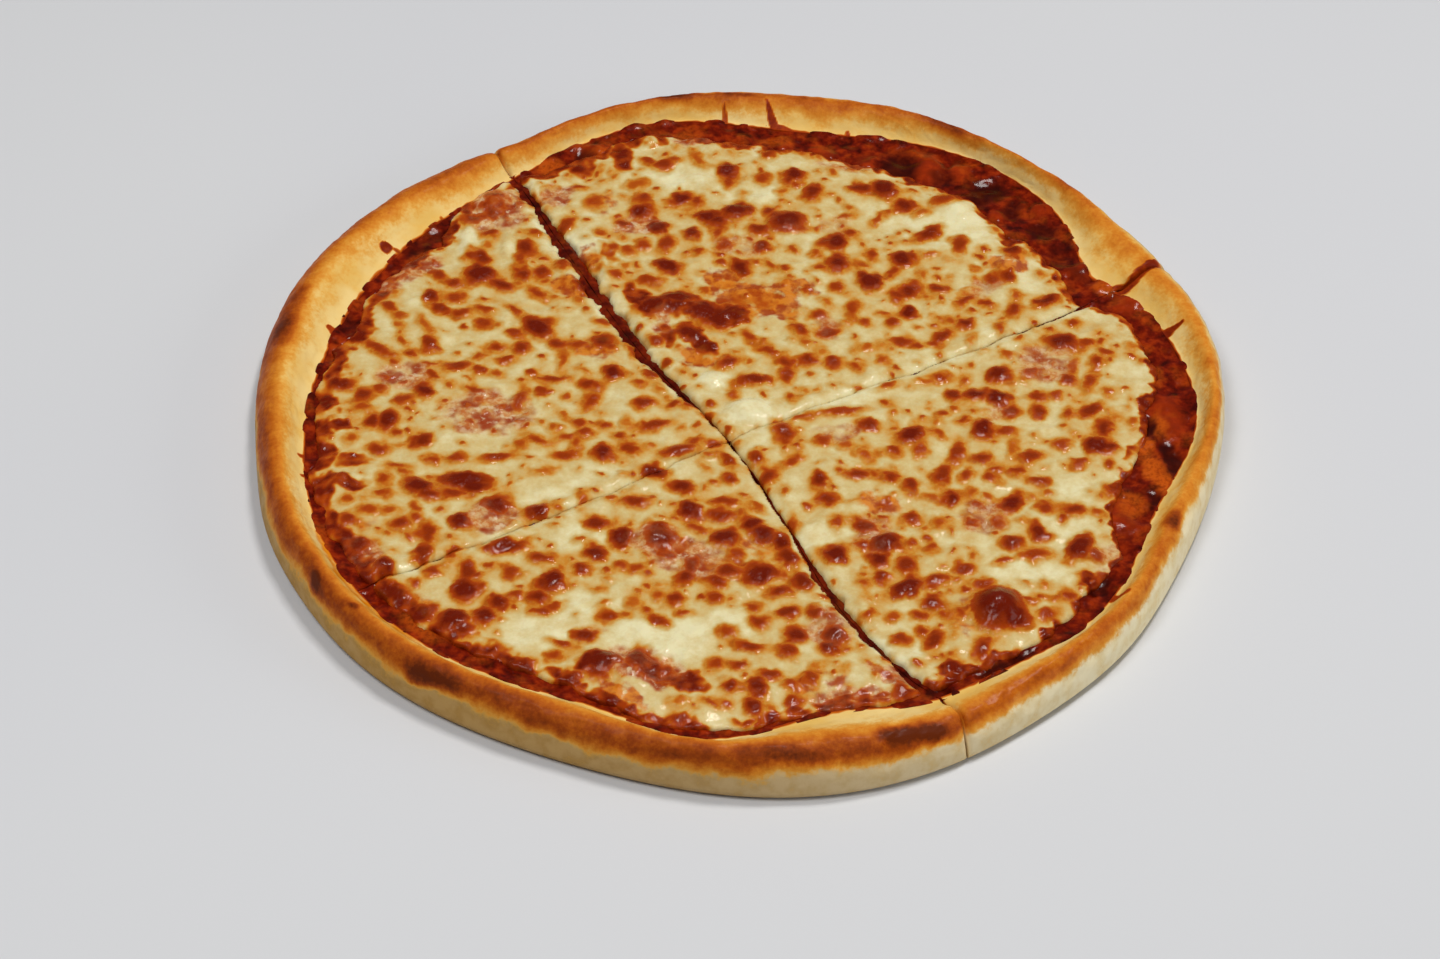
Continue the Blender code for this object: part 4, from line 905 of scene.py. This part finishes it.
def crust_section(degrees, kinds, shares):
    """Radius and height of each row of the section at each angle."""
    outer, foot = crust_radius(degrees), foot_radius(degrees)
    crest = np.interp(wrapped(degrees), ROUND, CREST)
    inset = np.minimum(CREST_INSET, CREST_SHARE * (outer - foot))
    turn = shares * math.pi / 2
    fall = (1 - np.cos(math.pi * shares)) / 2
    before_foot = [kinds == kind for kind in (UNDERSIDE, HEEL_BEND, OUTSIDE, SLOPE)]
    radius = np.select(
        before_foot,
        [
            foot - BASE_OVERLAP + (outer - HEEL - foot + BASE_OVERLAP) * shares,
            outer - HEEL * np.cos(turn) ** 2 * (1 - 0.35 * np.sin(2 * turn)),
            outer - inset * (1 - np.cos(turn)),
            outer - inset + (foot - outer + inset) * shares,
        ],
        foot - BASE_OVERLAP * shares,
    )
    height = np.select(
        before_foot,
        [
            0.0,
            SHOULDER_Z * np.sin(turn) ** 2,
            SHOULDER_Z + (crest - SHOULDER_Z) * np.sin(turn),
            crest + (RIM_FOOT_Z - crest) * fall,
        ],
        RIM_FOOT_Z - (RIM_FOOT_Z - FLOOR_Z) * shares**0.7,
    )
    return radius, height


def arm(name):
    """The points of one arm of the cuts, from the crossing outwards."""
    line = LINE_A if name[0] == "a" else LINE_B
    split = int(np.argmin(np.hypot(line[:, 0] - CROSSING[0], line[:, 1] - CROSSING[1])))
    return line[split::-1] if name in ("a_back", "b_left") else line[split:]


def moved_arm(name, side):
    """An arm moved to its left or right by the half gap."""
    line = arm(name)
    along = np.gradient(line, axis=0)
    along /= np.linalg.norm(along, axis=1)[:, None]
    across = np.stack([-along[:, 1], along[:, 0]], 1)
    wobble = 0.18 * waves(line[:, 0], line[:, 1], 5, 43)
    return line + across * (side * CRUST_HALF_GAP + wobble[:, None])


# An arm's direction is only asked for beyond this radius
ARM_STRAIGHT = 60


def angle_at(line, radii):
    """The direction, in degrees, in which an arm crosses each radius."""
    reach = np.hypot(line[:, 0], line[:, 1])
    degrees = np.unwrap(np.degrees(np.arctan2(line[:, 1], line[:, 0])), period=360)
    far = reach > ARM_STRAIGHT
    return np.interp(radii, reach[far], degrees[far])


def crust_relief(degrees, section, arc):
    """Unevenness of the crust's surface, along the section's normal."""
    along = np.radians(degrees) * CRUST_RADIUS
    top = ramp_up(section, -1.05, -0.6) * ramp_up(section, 1.0, 0.8)
    baked = np.exp(-(((section + 0.2) / 0.5) ** 2))
    total = 0.28 * waves(along, arc, 9, 111) * top
    total += 0.14 * waves(along, 1.4 * arc, 4, 112) * top
    total += 0.09 * waves(0.8 * along, 1.5 * arc, 1.9, 113) * baked
    total += 0.03 * waves(along, arc, 0.9, 114) * top
    creases = np.clip(0.16 - np.abs(waves(0.6 * along, 1.4 * arc, 6, 115)), 0, 1)
    return total - 0.9 * creases * top * ramp_up(waves(along, arc, 14, 116), -0.1, 0.5)


# Painted light on the outer wall, which is paler where it stands lit: direction, amount, spread
WALL_PAINTED_LIGHT = ((-42, 1, 38), (0, .4, 20))
# Where the browning is deepest on the section, how far it fades inwards, and how strong it is:
# direction, value
BAKE_MIDDLES = (
    (-180, -.6), (-165, -.45), (-150, -.36), (-120, -.34), (-90, -.36), (-60, -.3), (-30, -.15), (0, -.1),
    (50, -.05), (90, 0), (130, -.1), (160, -.45), (180, -.6),
)
BAKE_FADES = ((-180, .75), (-140, .65), (-90, .6), (-50, .55), (0, .7), (50, .5), (90, .5), (180, .75))
BAKE_STRENGTHS = (
    (-180, .7), (-150, .76), (-130, .78), (-100, .78), (-70, .74), (-45, .6), (-20, .5), (0, .42),
    (30, .45), (50, .6), (90, .7), (120, .68), (150, .68), (180, .7),
)


def baking(x, y, degrees, section, arc):
    """How brown the crust is, from 0, pale, to a little over 1."""
    along = np.radians(degrees) * CRUST_RADIUS
    around = wrapped(degrees)
    uneven = 0.12 * waves(along, arc, 16, 121) + 0.06 * waves(along, arc, 5, 122)
    crackle = 0.03 * waves(along, 1.3 * arc, 2.6, 123) + 0.02 * waves(along, arc, 1.1, 124)
    away = section - look_up(BAKE_MIDDLES, around) + uneven
    inner = np.exp(-((np.clip(away, 0, 3) / look_up(BAKE_FADES, around)) ** 2))
    outer = ramp_up(away + crackle, -0.42, -0.02)
    strength = look_up(BAKE_STRENGTHS, around) + 0.1 * waves(along, arc, 26, 125)
    baked = strength * np.where(away > 0, inner, outer)
    for *oval, depth in RIM_BLOTCHES:
        far = oval_distance(x + 8 * uneven, y + 12 * crackle, oval)
        baked = baked + 0.5 * depth * ramp_up(far, 1.3, 0.3) * ramp_up(baked, 0.1, 0.5)
    return np.clip(baked, 0, 1.15)


def strip_distance(x, y, strip):
    """Distance to the outline of a tapered strip, negative inside it."""
    ax, ay, bx, by = strip[:4]
    length = max((bx - ax) ** 2 + (by - ay) ** 2, 0.01)
    share = np.clip(((x - ax) * (bx - ax) + (y - ay) * (by - ay)) / length, 0, 1)
    far = np.hypot(x - ax - share * (bx - ax), y - ay - share * (by - ay))
    return far - (strip[4] + (strip[5] - strip[4]) * share)


def strips(x, y, chosen):
    """1 inside ragged strips, 0 away from them."""
    total = np.zeros_like(x)
    ragged = 0.8 * waves(x, y, 3, 141)
    for strip in chosen:
        total = np.maximum(total, ramp_up(strip_distance(x, y, strip) + ragged, 0.6, -0.6))
    return total


def stains(x, y, section):
    """Sauce that has run up the rim's inside."""
    shift_x = 0.3 * waves(x, y, 2.5, 131) + 0.1 * waves(x, y, 1.1, 133)
    shift_y = 0.3 * waves(x, y, 2.5, 132)
    total = np.zeros_like(x)
    for *strip, strength in STAINS:
        far = strip_distance(x + shift_x, y + shift_y, strip)
        total = np.maximum(total, strength * ramp_up(far, 0.35, -0.35))
    creep = ramp_up(section + 0.05 * waves(x, y, 3, 134), 0.9, 1.02)
    return np.maximum(total, creep) * ramp_up(section, -0.5, -0.2)


def sweep(first, last, kinds, shares):
    """Direction, radius and height of the rim's points, and their distance to the nearer cut."""
    low_line, high_line = moved_arm(first, 1), moved_arm(last, -1)
    start, end = (float(angle_at(line, MID_RIM_RADIUS)) for line in (low_line, high_line))
    turn = 360 * math.ceil((start - end) / 360)
    stations = int((end + turn - start) / 360 * 2 * math.pi * CRUST_RADIUS / STATION_STEP)
    share = np.linspace(0, 1, stations)[:, None]
    radius = np.full((stations, len(kinds)), MID_RIM_RADIUS)
    for _ in range(END_PASSES):
        low = angle_at(low_line, radius)
        high = angle_at(high_line, radius) + turn
        degrees = low + (high - low) * share
        radius, height = crust_section(degrees, kinds, shares)
    to_end = np.minimum(degrees - low, high - degrees) * math.pi / 180 * CRUST_RADIUS
    return degrees, radius, height, to_end


def crust_mesh(first, last, slit):
    """One piece of the crust between two arms of the cuts, as points, faces and fields."""
    kinds, shares, section = crust_rows()
    degrees, radius, height, to_end = sweep(first, last, kinds, shares)
    lengths = (np.diff(values, axis=1, prepend=values[:, :1]) for values in (radius, height))
    arc = np.cumsum(np.hypot(*lengths), axis=1)
    rows = np.broadcast_to(section, radius.shape)
    slope_r, slope_z = np.gradient(radius, axis=1), np.gradient(height, axis=1)
    steep = np.maximum(np.hypot(slope_r, slope_z), 1e-6)
    rounding = END_ROUNDING - np.sqrt(np.clip(END_ROUNDING**2 - (END_ROUNDING - to_end) ** 2, 0, None))
    rounding = np.where(to_end < END_ROUNDING, rounding, 0) * ramp_up(rows, -1.3, -0.6) * 0.55
    relief = crust_relief(degrees, rows, arc) - rounding * ramp_up(rows, 1.0, 0.7)
    radius = radius + relief * slope_z / steep
    height = np.maximum(height - relief * slope_r / steep, 0)
    x = radius * np.cos(np.radians(degrees))
    y = radius * np.sin(np.radians(degrees))
    fields = {
        "baked": baking(x, y, degrees, rows, arc),
        "section": rows / 2,
        "stain": stains(x, y, rows),
        "gloss": strips(x, y, RIM_GLOSS) * ramp_up(rows, -0.9, -0.6),
        "oil": strips(x, y, RIM_OIL) * ramp_up(rows, 0.1, 0.4),
        # Painted light: how much of the lit, paler wall colour each point gets
        "wall_light": swell(degrees, WALL_PAINTED_LIGHT),
    }
    height = height + 0.2 * fields["stain"] * ramp_up(rows, 0.98, 0.8)
    points = np.stack([x, y, height], -1)
    return join_base(points, fields, base_lines(first, last, slit, points[:, 0, :2]))


SLIT_STOPS = 1.5
SLIT_DIRECTION = -140.0
# How far inside the rim the base's cuts start
BASE_INSET = 0.5
# Points next to the crossing that are left out of each cut's line
AT_CROSSING = 2


def nearer(line, reach):
    """The points of a line that are nearer to the middle than this reach."""
    return line[np.hypot(line[:, 0], line[:, 1]) < reach]


def base_lines(first, last, slit, inner):
    """Plan points that carry the base's outline from the end of the rim back to its start."""
    inwards = nearer(moved_arm(last, -1), np.hypot(*inner[-1]) - BASE_INSET)[:AT_CROSSING - 1:-1]
    outwards = nearer(moved_arm(first, 1), np.hypot(*inner[0]) - BASE_INSET)[AT_CROSSING:]
    sides = []
    if slit:
        limit = foot_radius(np.array([SLIT_DIRECTION]))[0] - SLIT_STOPS
        sides = [nearer(moved_arm(slit, side), limit)[AT_CROSSING:] for side in (-1, 1)]
        sides[1] = sides[1][::-1]
    return np.concatenate([inwards, *sides, outwards])


# What the floor, the underside and the cut walls of the crust look like
# The base's walls get a share of the painted light of the lit wall colour
BASE_FIELDS = {"baked": 0.2, "section": -1.0, "stain": 0.0, "gloss": 0.0, "oil": 0.0, "wall_light": 0.3}


def join_base(rim, fields, line):
    """Closes the swept rim with end faces, a floor, an underside and walls along the cuts."""
    stations, count = rim.shape[:2]
    total = stations * count
    floor = np.column_stack([line, np.full(len(line), FLOOR_Z)])
    under = np.column_stack([line, np.zeros(len(line))])
    points = np.concatenate([rim.reshape(-1, 3), floor, under])
    here = (np.arange(stations - 1)[:, None] * count + np.arange(count - 1)[None, :]).reshape(-1)
    sides = np.stack([here, here + count, here + count + 1, here + 1], 1)
    faces = [tuple(face) for face in sides.tolist()]
    top = [i * count + count - 1 for i in range(stations)] + [total + i for i in range(len(line))]
    low = [i * count for i in range(stations)] + [total + len(line) + i for i in range(len(line))]
    faces.append(tuple(top))
    faces.append(tuple(reversed(low)))
    faces.append(tuple(range(count)))
    faces.append(tuple(reversed(range(total - count, total))))
    for i in range(stations - 1, len(top)):
        j = (i + 1) % len(top)
        faces.append((low[i], low[j], top[j], top[i]))
    for key, fill in BASE_FIELDS.items():
        fields[key] = np.concatenate([fields[key].reshape(-1), np.full(2 * len(line), fill)])
    return points, faces, fields


# The arms of the cuts that each crust lies between, and the arm of its slit
CRUSTS = {
    "crust_right": ("a_front", "b_right", None),
    "crust_back": ("b_right", "a_back", None),
    "crust_left_front": ("a_back", "a_front", "b_left"),
}


def add_crusts(material):
    for node, (first, last, slit) in CRUSTS.items():
        points, faces, fields = crust_mesh(first, last, slit)
        add_piece("baked_" + node, points, faces, material, fields, [node])


def linear(color):
    """A colour of 0 to 255, as seen on a screen, in the renderer's linear values."""
    shares = [value / 255 for value in color]
    values = [s / 12.92 if s <= 0.04045 else ((s + 0.055) / 1.055) ** 2.4 for s in shares]
    return (*values, 1)


class Shader:
    """Builds the nodes of one material."""

    def __init__(self, name):
        self.material = bpy.data.materials.new(name)
        self.material.use_nodes = True
        self.tree = self.material.node_tree
        self.main = self.tree.nodes["Principled BSDF"]
        self.place = self.add("ShaderNodeTexCoord").outputs["Object"]

    def add(self, kind, inputs=(), **settings):
        made = self.tree.nodes.new(kind)
        for key, value in settings.items():
            setattr(made, key, value)
        for key, value in dict(inputs).items():
            if isinstance(value, bpy.types.NodeSocket):
                self.tree.links.new(value, made.inputs[key])
            else:
                made.inputs[key].default_value = value
        return made

    def field(self, name):
        return self.add("ShaderNodeAttribute", attribute_name=name).outputs["Fac"]

    def noise(self, length, detail=2.0, roughness=0.5):
        """Noise with features of this length in mm."""
        scale = 1 / (length * MM)
        inputs = {"Vector": self.place, "Scale": scale, "Detail": detail, "Roughness": roughness}
        return self.add("ShaderNodeTexNoise", inputs).outputs["Fac"]

    def math(self, operation, first, second):
        return self.add("ShaderNodeMath", {0: first, 1: second}, operation=operation).outputs[0]

    def times(self, first, second):
        return self.math("MULTIPLY", first, second)

    def between(self, value, low, high, new_low=0.0, new_high=1.0):
        """The value's smooth rise from low to high, as one from new_low to new_high."""
        inputs = {0: value, 1: low, 2: high, 3: new_low, 4: new_high}
        return self.add("ShaderNodeMapRange", inputs, interpolation_type="SMOOTHSTEP").outputs[0]

    def vary(self, value, noise, amount):
        """The value moved up and down by a noise, by this amount at most."""
        return self.math("ADD", value, self.between(noise, 0.3, 0.7, -amount, amount))

    def ramp(self, value, stops):
        made = self.add("ShaderNodeValToRGB", {0: value})
        elements = made.color_ramp.elements
        while len(elements) < len(stops):
            elements.new(0.5)
        for element, (position, color) in zip(elements, stops):
            element.position = position
            element.color = linear(color)
        return made.outputs["Color"]

    def mix(self, share, first, second):
        """A mix of two colours, each a socket or a colour of 0 to 255."""
        first, second = (c if isinstance(c, bpy.types.NodeSocket) else linear(c) for c in (first, second))
        inputs = {0: share, 6: first, 7: second}
        return self.add("ShaderNodeMix", inputs, data_type="RGBA", clamp_factor=True).outputs[2]

    def bump(self, height, distance, strength, normal=None):
        inputs = {"Height": height, "Distance": distance * MM, "Strength": strength}
        if normal:
            inputs["Normal"] = normal
        return self.add("ShaderNodeBump", inputs).outputs[0]

    def finish(self, color, roughness, normal, **constants):
        self.tree.links.new(color, self.main.inputs["Base Color"])
        self.tree.links.new(roughness, self.main.inputs["Roughness"])
        self.tree.links.new(normal, self.main.inputs["Normal"])
        for key, value in constants.items():
            self.main.inputs[key.replace("_", " ").title().replace("Ior", "IOR")].default_value = value
        return self.material


def cheese_material():
    shader = Shader("melted_cheese")
    medium, fine = shader.noise(5, 4), shader.noise(1.3, 3, 0.6)
    keys = ("tone", "brown", "mauve", "red", "orange", "lip")
    tone, brown, mauve, red, orange, lip = (shader.field(key) for key in keys)
    uneven = shader.vary(shader.vary(tone, medium, 0.06), fine, 0.035)
    uneven = shader.math("SUBTRACT", uneven, shader.times(lip, 0.1))
    color = shader.ramp(
        uneven,
        (
            (0.0, (230, 220, 174)), (0.12, (220, 203, 150)), (0.25, (210, 184, 122)),
            (0.38, (206, 163, 90)), (0.5, (202, 136, 48)), (0.6, (190, 104, 22)),
            (0.72, (166, 78, 16)), (0.85, (144, 52, 8)), (1.0, (108, 26, 4)),
        ),
    )
    film = shader.mix(shader.between(fine, 0.35, 0.65), (214, 168, 116), (192, 112, 58))
    patchy = shader.times(mauve, shader.between(medium, 0.3, 0.7, 0.5, 1.5))
    color = shader.mix(shader.between(patchy, 0.1, 0.8, 0, 0.8), color, film)
    color = shader.mix(shader.between(red, 0.1, 0.95, 0, 0.9), color, (150, 44, 10))
    strings = shader.times(mauve, shader.between(shader.noise(3.2, 3, 0.6), 0.53, 0.66))
    color = shader.mix(shader.times(strings, 0.75), color, (226, 202, 162))
    warm = shader.mix(shader.between(shader.noise(3.6, 4), 0.38, 0.62), (212, 124, 34), (160, 54, 6))
    patchy = shader.times(orange, shader.between(medium, 0.32, 0.68, 0.25, 1.75))
    color = shader.mix(shader.between(patchy, 0.08, 0.85, 0, 0.92), color, warm)
    toast = shader.ramp(brown, ((0.55, (194, 98, 18)), (0.75, (164, 60, 8)), (1.0, (108, 24, 3))))
    color = shader.mix(shader.between(brown, 0.45, 0.75, 0, 0.9), color, toast)
    gloss = shader.between(shader.noise(2.2, 3, 0.6), 0.35, 0.65, 0.22, 0.4)
    gloss = shader.math("SUBTRACT", gloss, shader.times(brown, 0.08))
    pores = shader.bump(shader.noise(0.9, 3, 0.6), 0.09, 0.8)
    crackled = shader.bump(shader.times(shader.noise(1.7, 3, 0.6), brown), 0.5, 0.7, pores)
    normal = shader.bump(shader.noise(2.6, 4, 0.55), 0.3, 0.5, crackled)
    return shader.finish(
        color, gloss, normal,
        subsurface_weight=0.08, subsurface_scale=0.0012, subsurface_radius=(1.0, 0.5, 0.2),
        specular_ior_level=0.06, coat_weight=0.14, coat_roughness=0.04,
    )


def sauce_material():
    shader = Shader("tomato_sauce")
    medium, fine = shader.noise(5, 4), shader.noise(1.2, 3, 0.6)
    pale, shaded_hollow, raised = (shader.field(key) for key in ("pale", "shaded_hollow", "raised"))
    blotchy = shader.times(shader.math("ADD", medium, shader.noise(2.4, 2)), 0.5)
    red = shader.ramp(blotchy, ((0.36, (60, 7, 2)), (0.5, (106, 20, 3)), (0.64, (150, 44, 6))))
    color = shader.mix(shader.times(raised, 0.6), red, (162, 50, 10))
    oily = shader.times(pale, shader.between(fine, 0.3, 0.6, 0.5, 0.95))
    color = shader.mix(oily, color, (196, 86, 16))
    # Painted shade: near-black in the hollows and in the gap of the first cut
    color = shader.mix(shader.times(shaded_hollow, 0.85), color, (48, 8, 3))
    gloss = shader.between(fine, 0.3, 0.7, 0.12, 0.24)
    grain = shader.bump(shader.noise(0.9, 3, 0.6), 0.03, 0.8)
    normal = shader.bump(shader.noise(3, 4, 0.55), 0.25, 0.6, grain)
    return shader.finish(
        color, gloss, normal, specular_ior_level=0.05, coat_weight=0.12, coat_roughness=0.04
    )


def crust_material():
    shader = Shader("baked_crust")
    broad, medium, fine = shader.noise(18, 3), shader.noise(4.5, 4, 0.55), shader.noise(1.1, 3, 0.65)
    keys = ("baked", "section", "stain", "gloss", "oil", "wall_light")
    baked, section, stain, gloss, oil, wall_light = (shader.field(key) for key in keys)
    # Painted light: a darker and a lit, paler copy of the outer wall colour, the lit one where the painted
    # wall light is high, toward the front right
    wall = shader.mix(shader.between(medium, 0.35, 0.65), (190, 150, 88), (176, 134, 70))
    lit_wall = shader.mix(shader.between(medium, 0.35, 0.65), (250, 236, 196), (240, 220, 170))
    wall = shader.mix(wall_light, wall, lit_wall)
    slope = shader.mix(shader.between(broad, 0.35, 0.65), (238, 206, 134), (230, 186, 98))
    pale = shader.mix(shader.between(section, -0.28, -0.05), wall, slope)
    uneven = shader.vary(shader.vary(baked, medium, 0.07), fine, 0.05)
    brown = shader.ramp(
        uneven,
        (
            (0.0, (232, 186, 94)), (0.22, (226, 162, 66)), (0.42, (212, 130, 38)),
            (0.62, (186, 94, 20)), (0.8, (150, 64, 14)), (1.0, (98, 38, 10)),
        ),
    )
    color = shader.mix(shader.between(uneven, 0.02, 0.3), pale, brown)
    oily = shader.times(oil, shader.between(medium, 0.3, 0.6, 0.5, 1.0))
    color = shader.mix(oily, color, (214, 128, 18))
    sauce = shader.mix(shader.between(medium, 0.35, 0.65), (168, 60, 8), (122, 32, 4))
    ringed = shader.mix(shader.between(stain, 0.02, 0.35), color, (200, 104, 14))
    color = shader.mix(shader.between(stain, 0.35, 0.8), ringed, sauce)
    wet = shader.math("MAXIMUM", shader.times(stain, 0.3), shader.times(gloss, 0.9))
    wet = shader.math("MAXIMUM", wet, shader.times(oil, 0.7))
    rough = shader.between(medium, 0.3, 0.7, 0.44, 0.6)
    rough = shader.math("SUBTRACT", rough, shader.times(wet, 0.28))
    grain = shader.bump(shader.noise(0.7, 4, 0.7), 0.06, 0.7)
    normal = shader.bump(shader.noise(2.4, 4, 0.6), 0.25, 0.5, grain)
    return shader.finish(
        color, rough, normal, specular_ior_level=0.06, coat_weight=0.02, coat_roughness=0.15
    )


# In metres, as all lengths of the stage are
STAGE_HALF_SIZE = 6.0
STAGE_DROP = 0.0002


def add_floor():
    mesh = bpy.data.meshes.new("studio_floor")
    corners = [(-1, -1), (1, -1), (1, 1), (-1, 1)]
    points = [(STAGE_HALF_SIZE * x, STAGE_HALF_SIZE * y, -STAGE_DROP) for x, y in corners]
    mesh.from_pydata(points, [], [(0, 1, 2, 3)])
    shader = Shader("studio_floor")
    color = shader.mix(shader.between(shader.noise(400, 2), 0.4, 0.6), (211, 212, 215), (213, 214, 216))
    shader.tree.links.new(color, shader.main.inputs["Base Color"])
    shader.main.inputs["Roughness"].default_value = 0.9
    shader.main.inputs["Specular IOR Level"].default_value = 0.1
    mesh.materials.append(shader.material)
    floor = bpy.data.objects.new("studio_floor", mesh)
    bpy.context.scene.collection.objects.link(floor)


# Area lights that face the origin: name, place, size, power, colour
LIGHTS = (
    ("key", (0.36, 0.32, 1.4), (0.3, 0.3), 10.5, (1.0, 0.98, 0.95)),
    ("overhead", (-0.45, -0.45, 1.3), (0.5, 0.5), 8.5, (1, 1, 1)),
    ("right_fill", (1.4, -0.3, 0.5), (0.8, 0.6), 5, (1, 1, 1)),
)
AMBIENT_COLOR = (0.93, 0.95, 1.0, 1)
AMBIENT_STRENGTH = 0.14


def add_lights():
    for name, place, size, power, color in LIGHTS:
        data = bpy.data.lights.new(name, "AREA")
        data.shape = "RECTANGLE"
        data.size, data.size_y = size
        data.energy = power
        data.color = color
        light = bpy.data.objects.new(name, data)
        light.location = place
        light.rotation_euler = (-Vector(place)).to_track_quat("-Z", "Y").to_euler()
        bpy.context.scene.collection.objects.link(light)
    world = bpy.data.worlds.new("studio")
    world.use_nodes = True
    background = world.node_tree.nodes["Background"]
    background.inputs["Color"].default_value = AMBIENT_COLOR
    background.inputs["Strength"].default_value = AMBIENT_STRENGTH
    bpy.context.scene.world = world
    bpy.context.scene.view_settings.view_transform = "Standard"


# The camera that fits the photograph: metres, degrees, and millimetres for its lens and sensor
CAMERA_PLACE = (-0.00552, -0.72143, 0.64501)
CAMERA_TILT = 90 - 42.768
CAMERA_ROLL = 1.745
CAMERA_LENS = 85
CAMERA_SENSOR = 36


def add_camera():
    data = bpy.data.cameras.new("camera")
    data.lens = CAMERA_LENS
    data.sensor_width = CAMERA_SENSOR
    camera = bpy.data.objects.new("camera", data)
    tilt = Matrix.Rotation(math.radians(CAMERA_TILT), 4, "X")
    roll = Matrix.Rotation(math.radians(CAMERA_ROLL), 4, "Z")
    camera.matrix_world = Matrix.Translation(CAMERA_PLACE) @ tilt @ roll
    bpy.context.scene.collection.objects.link(camera)
    bpy.context.scene.camera = camera


add_camera()
add_lights()
add_floor()
plan = Grid(GRID_STEP)
outer_edge = cheese_edge(plan)
add_cheese(plan, outer_edge, cheese_material())
add_sauce(plan, outer_edge, sauce_material())
add_crusts(crust_material())
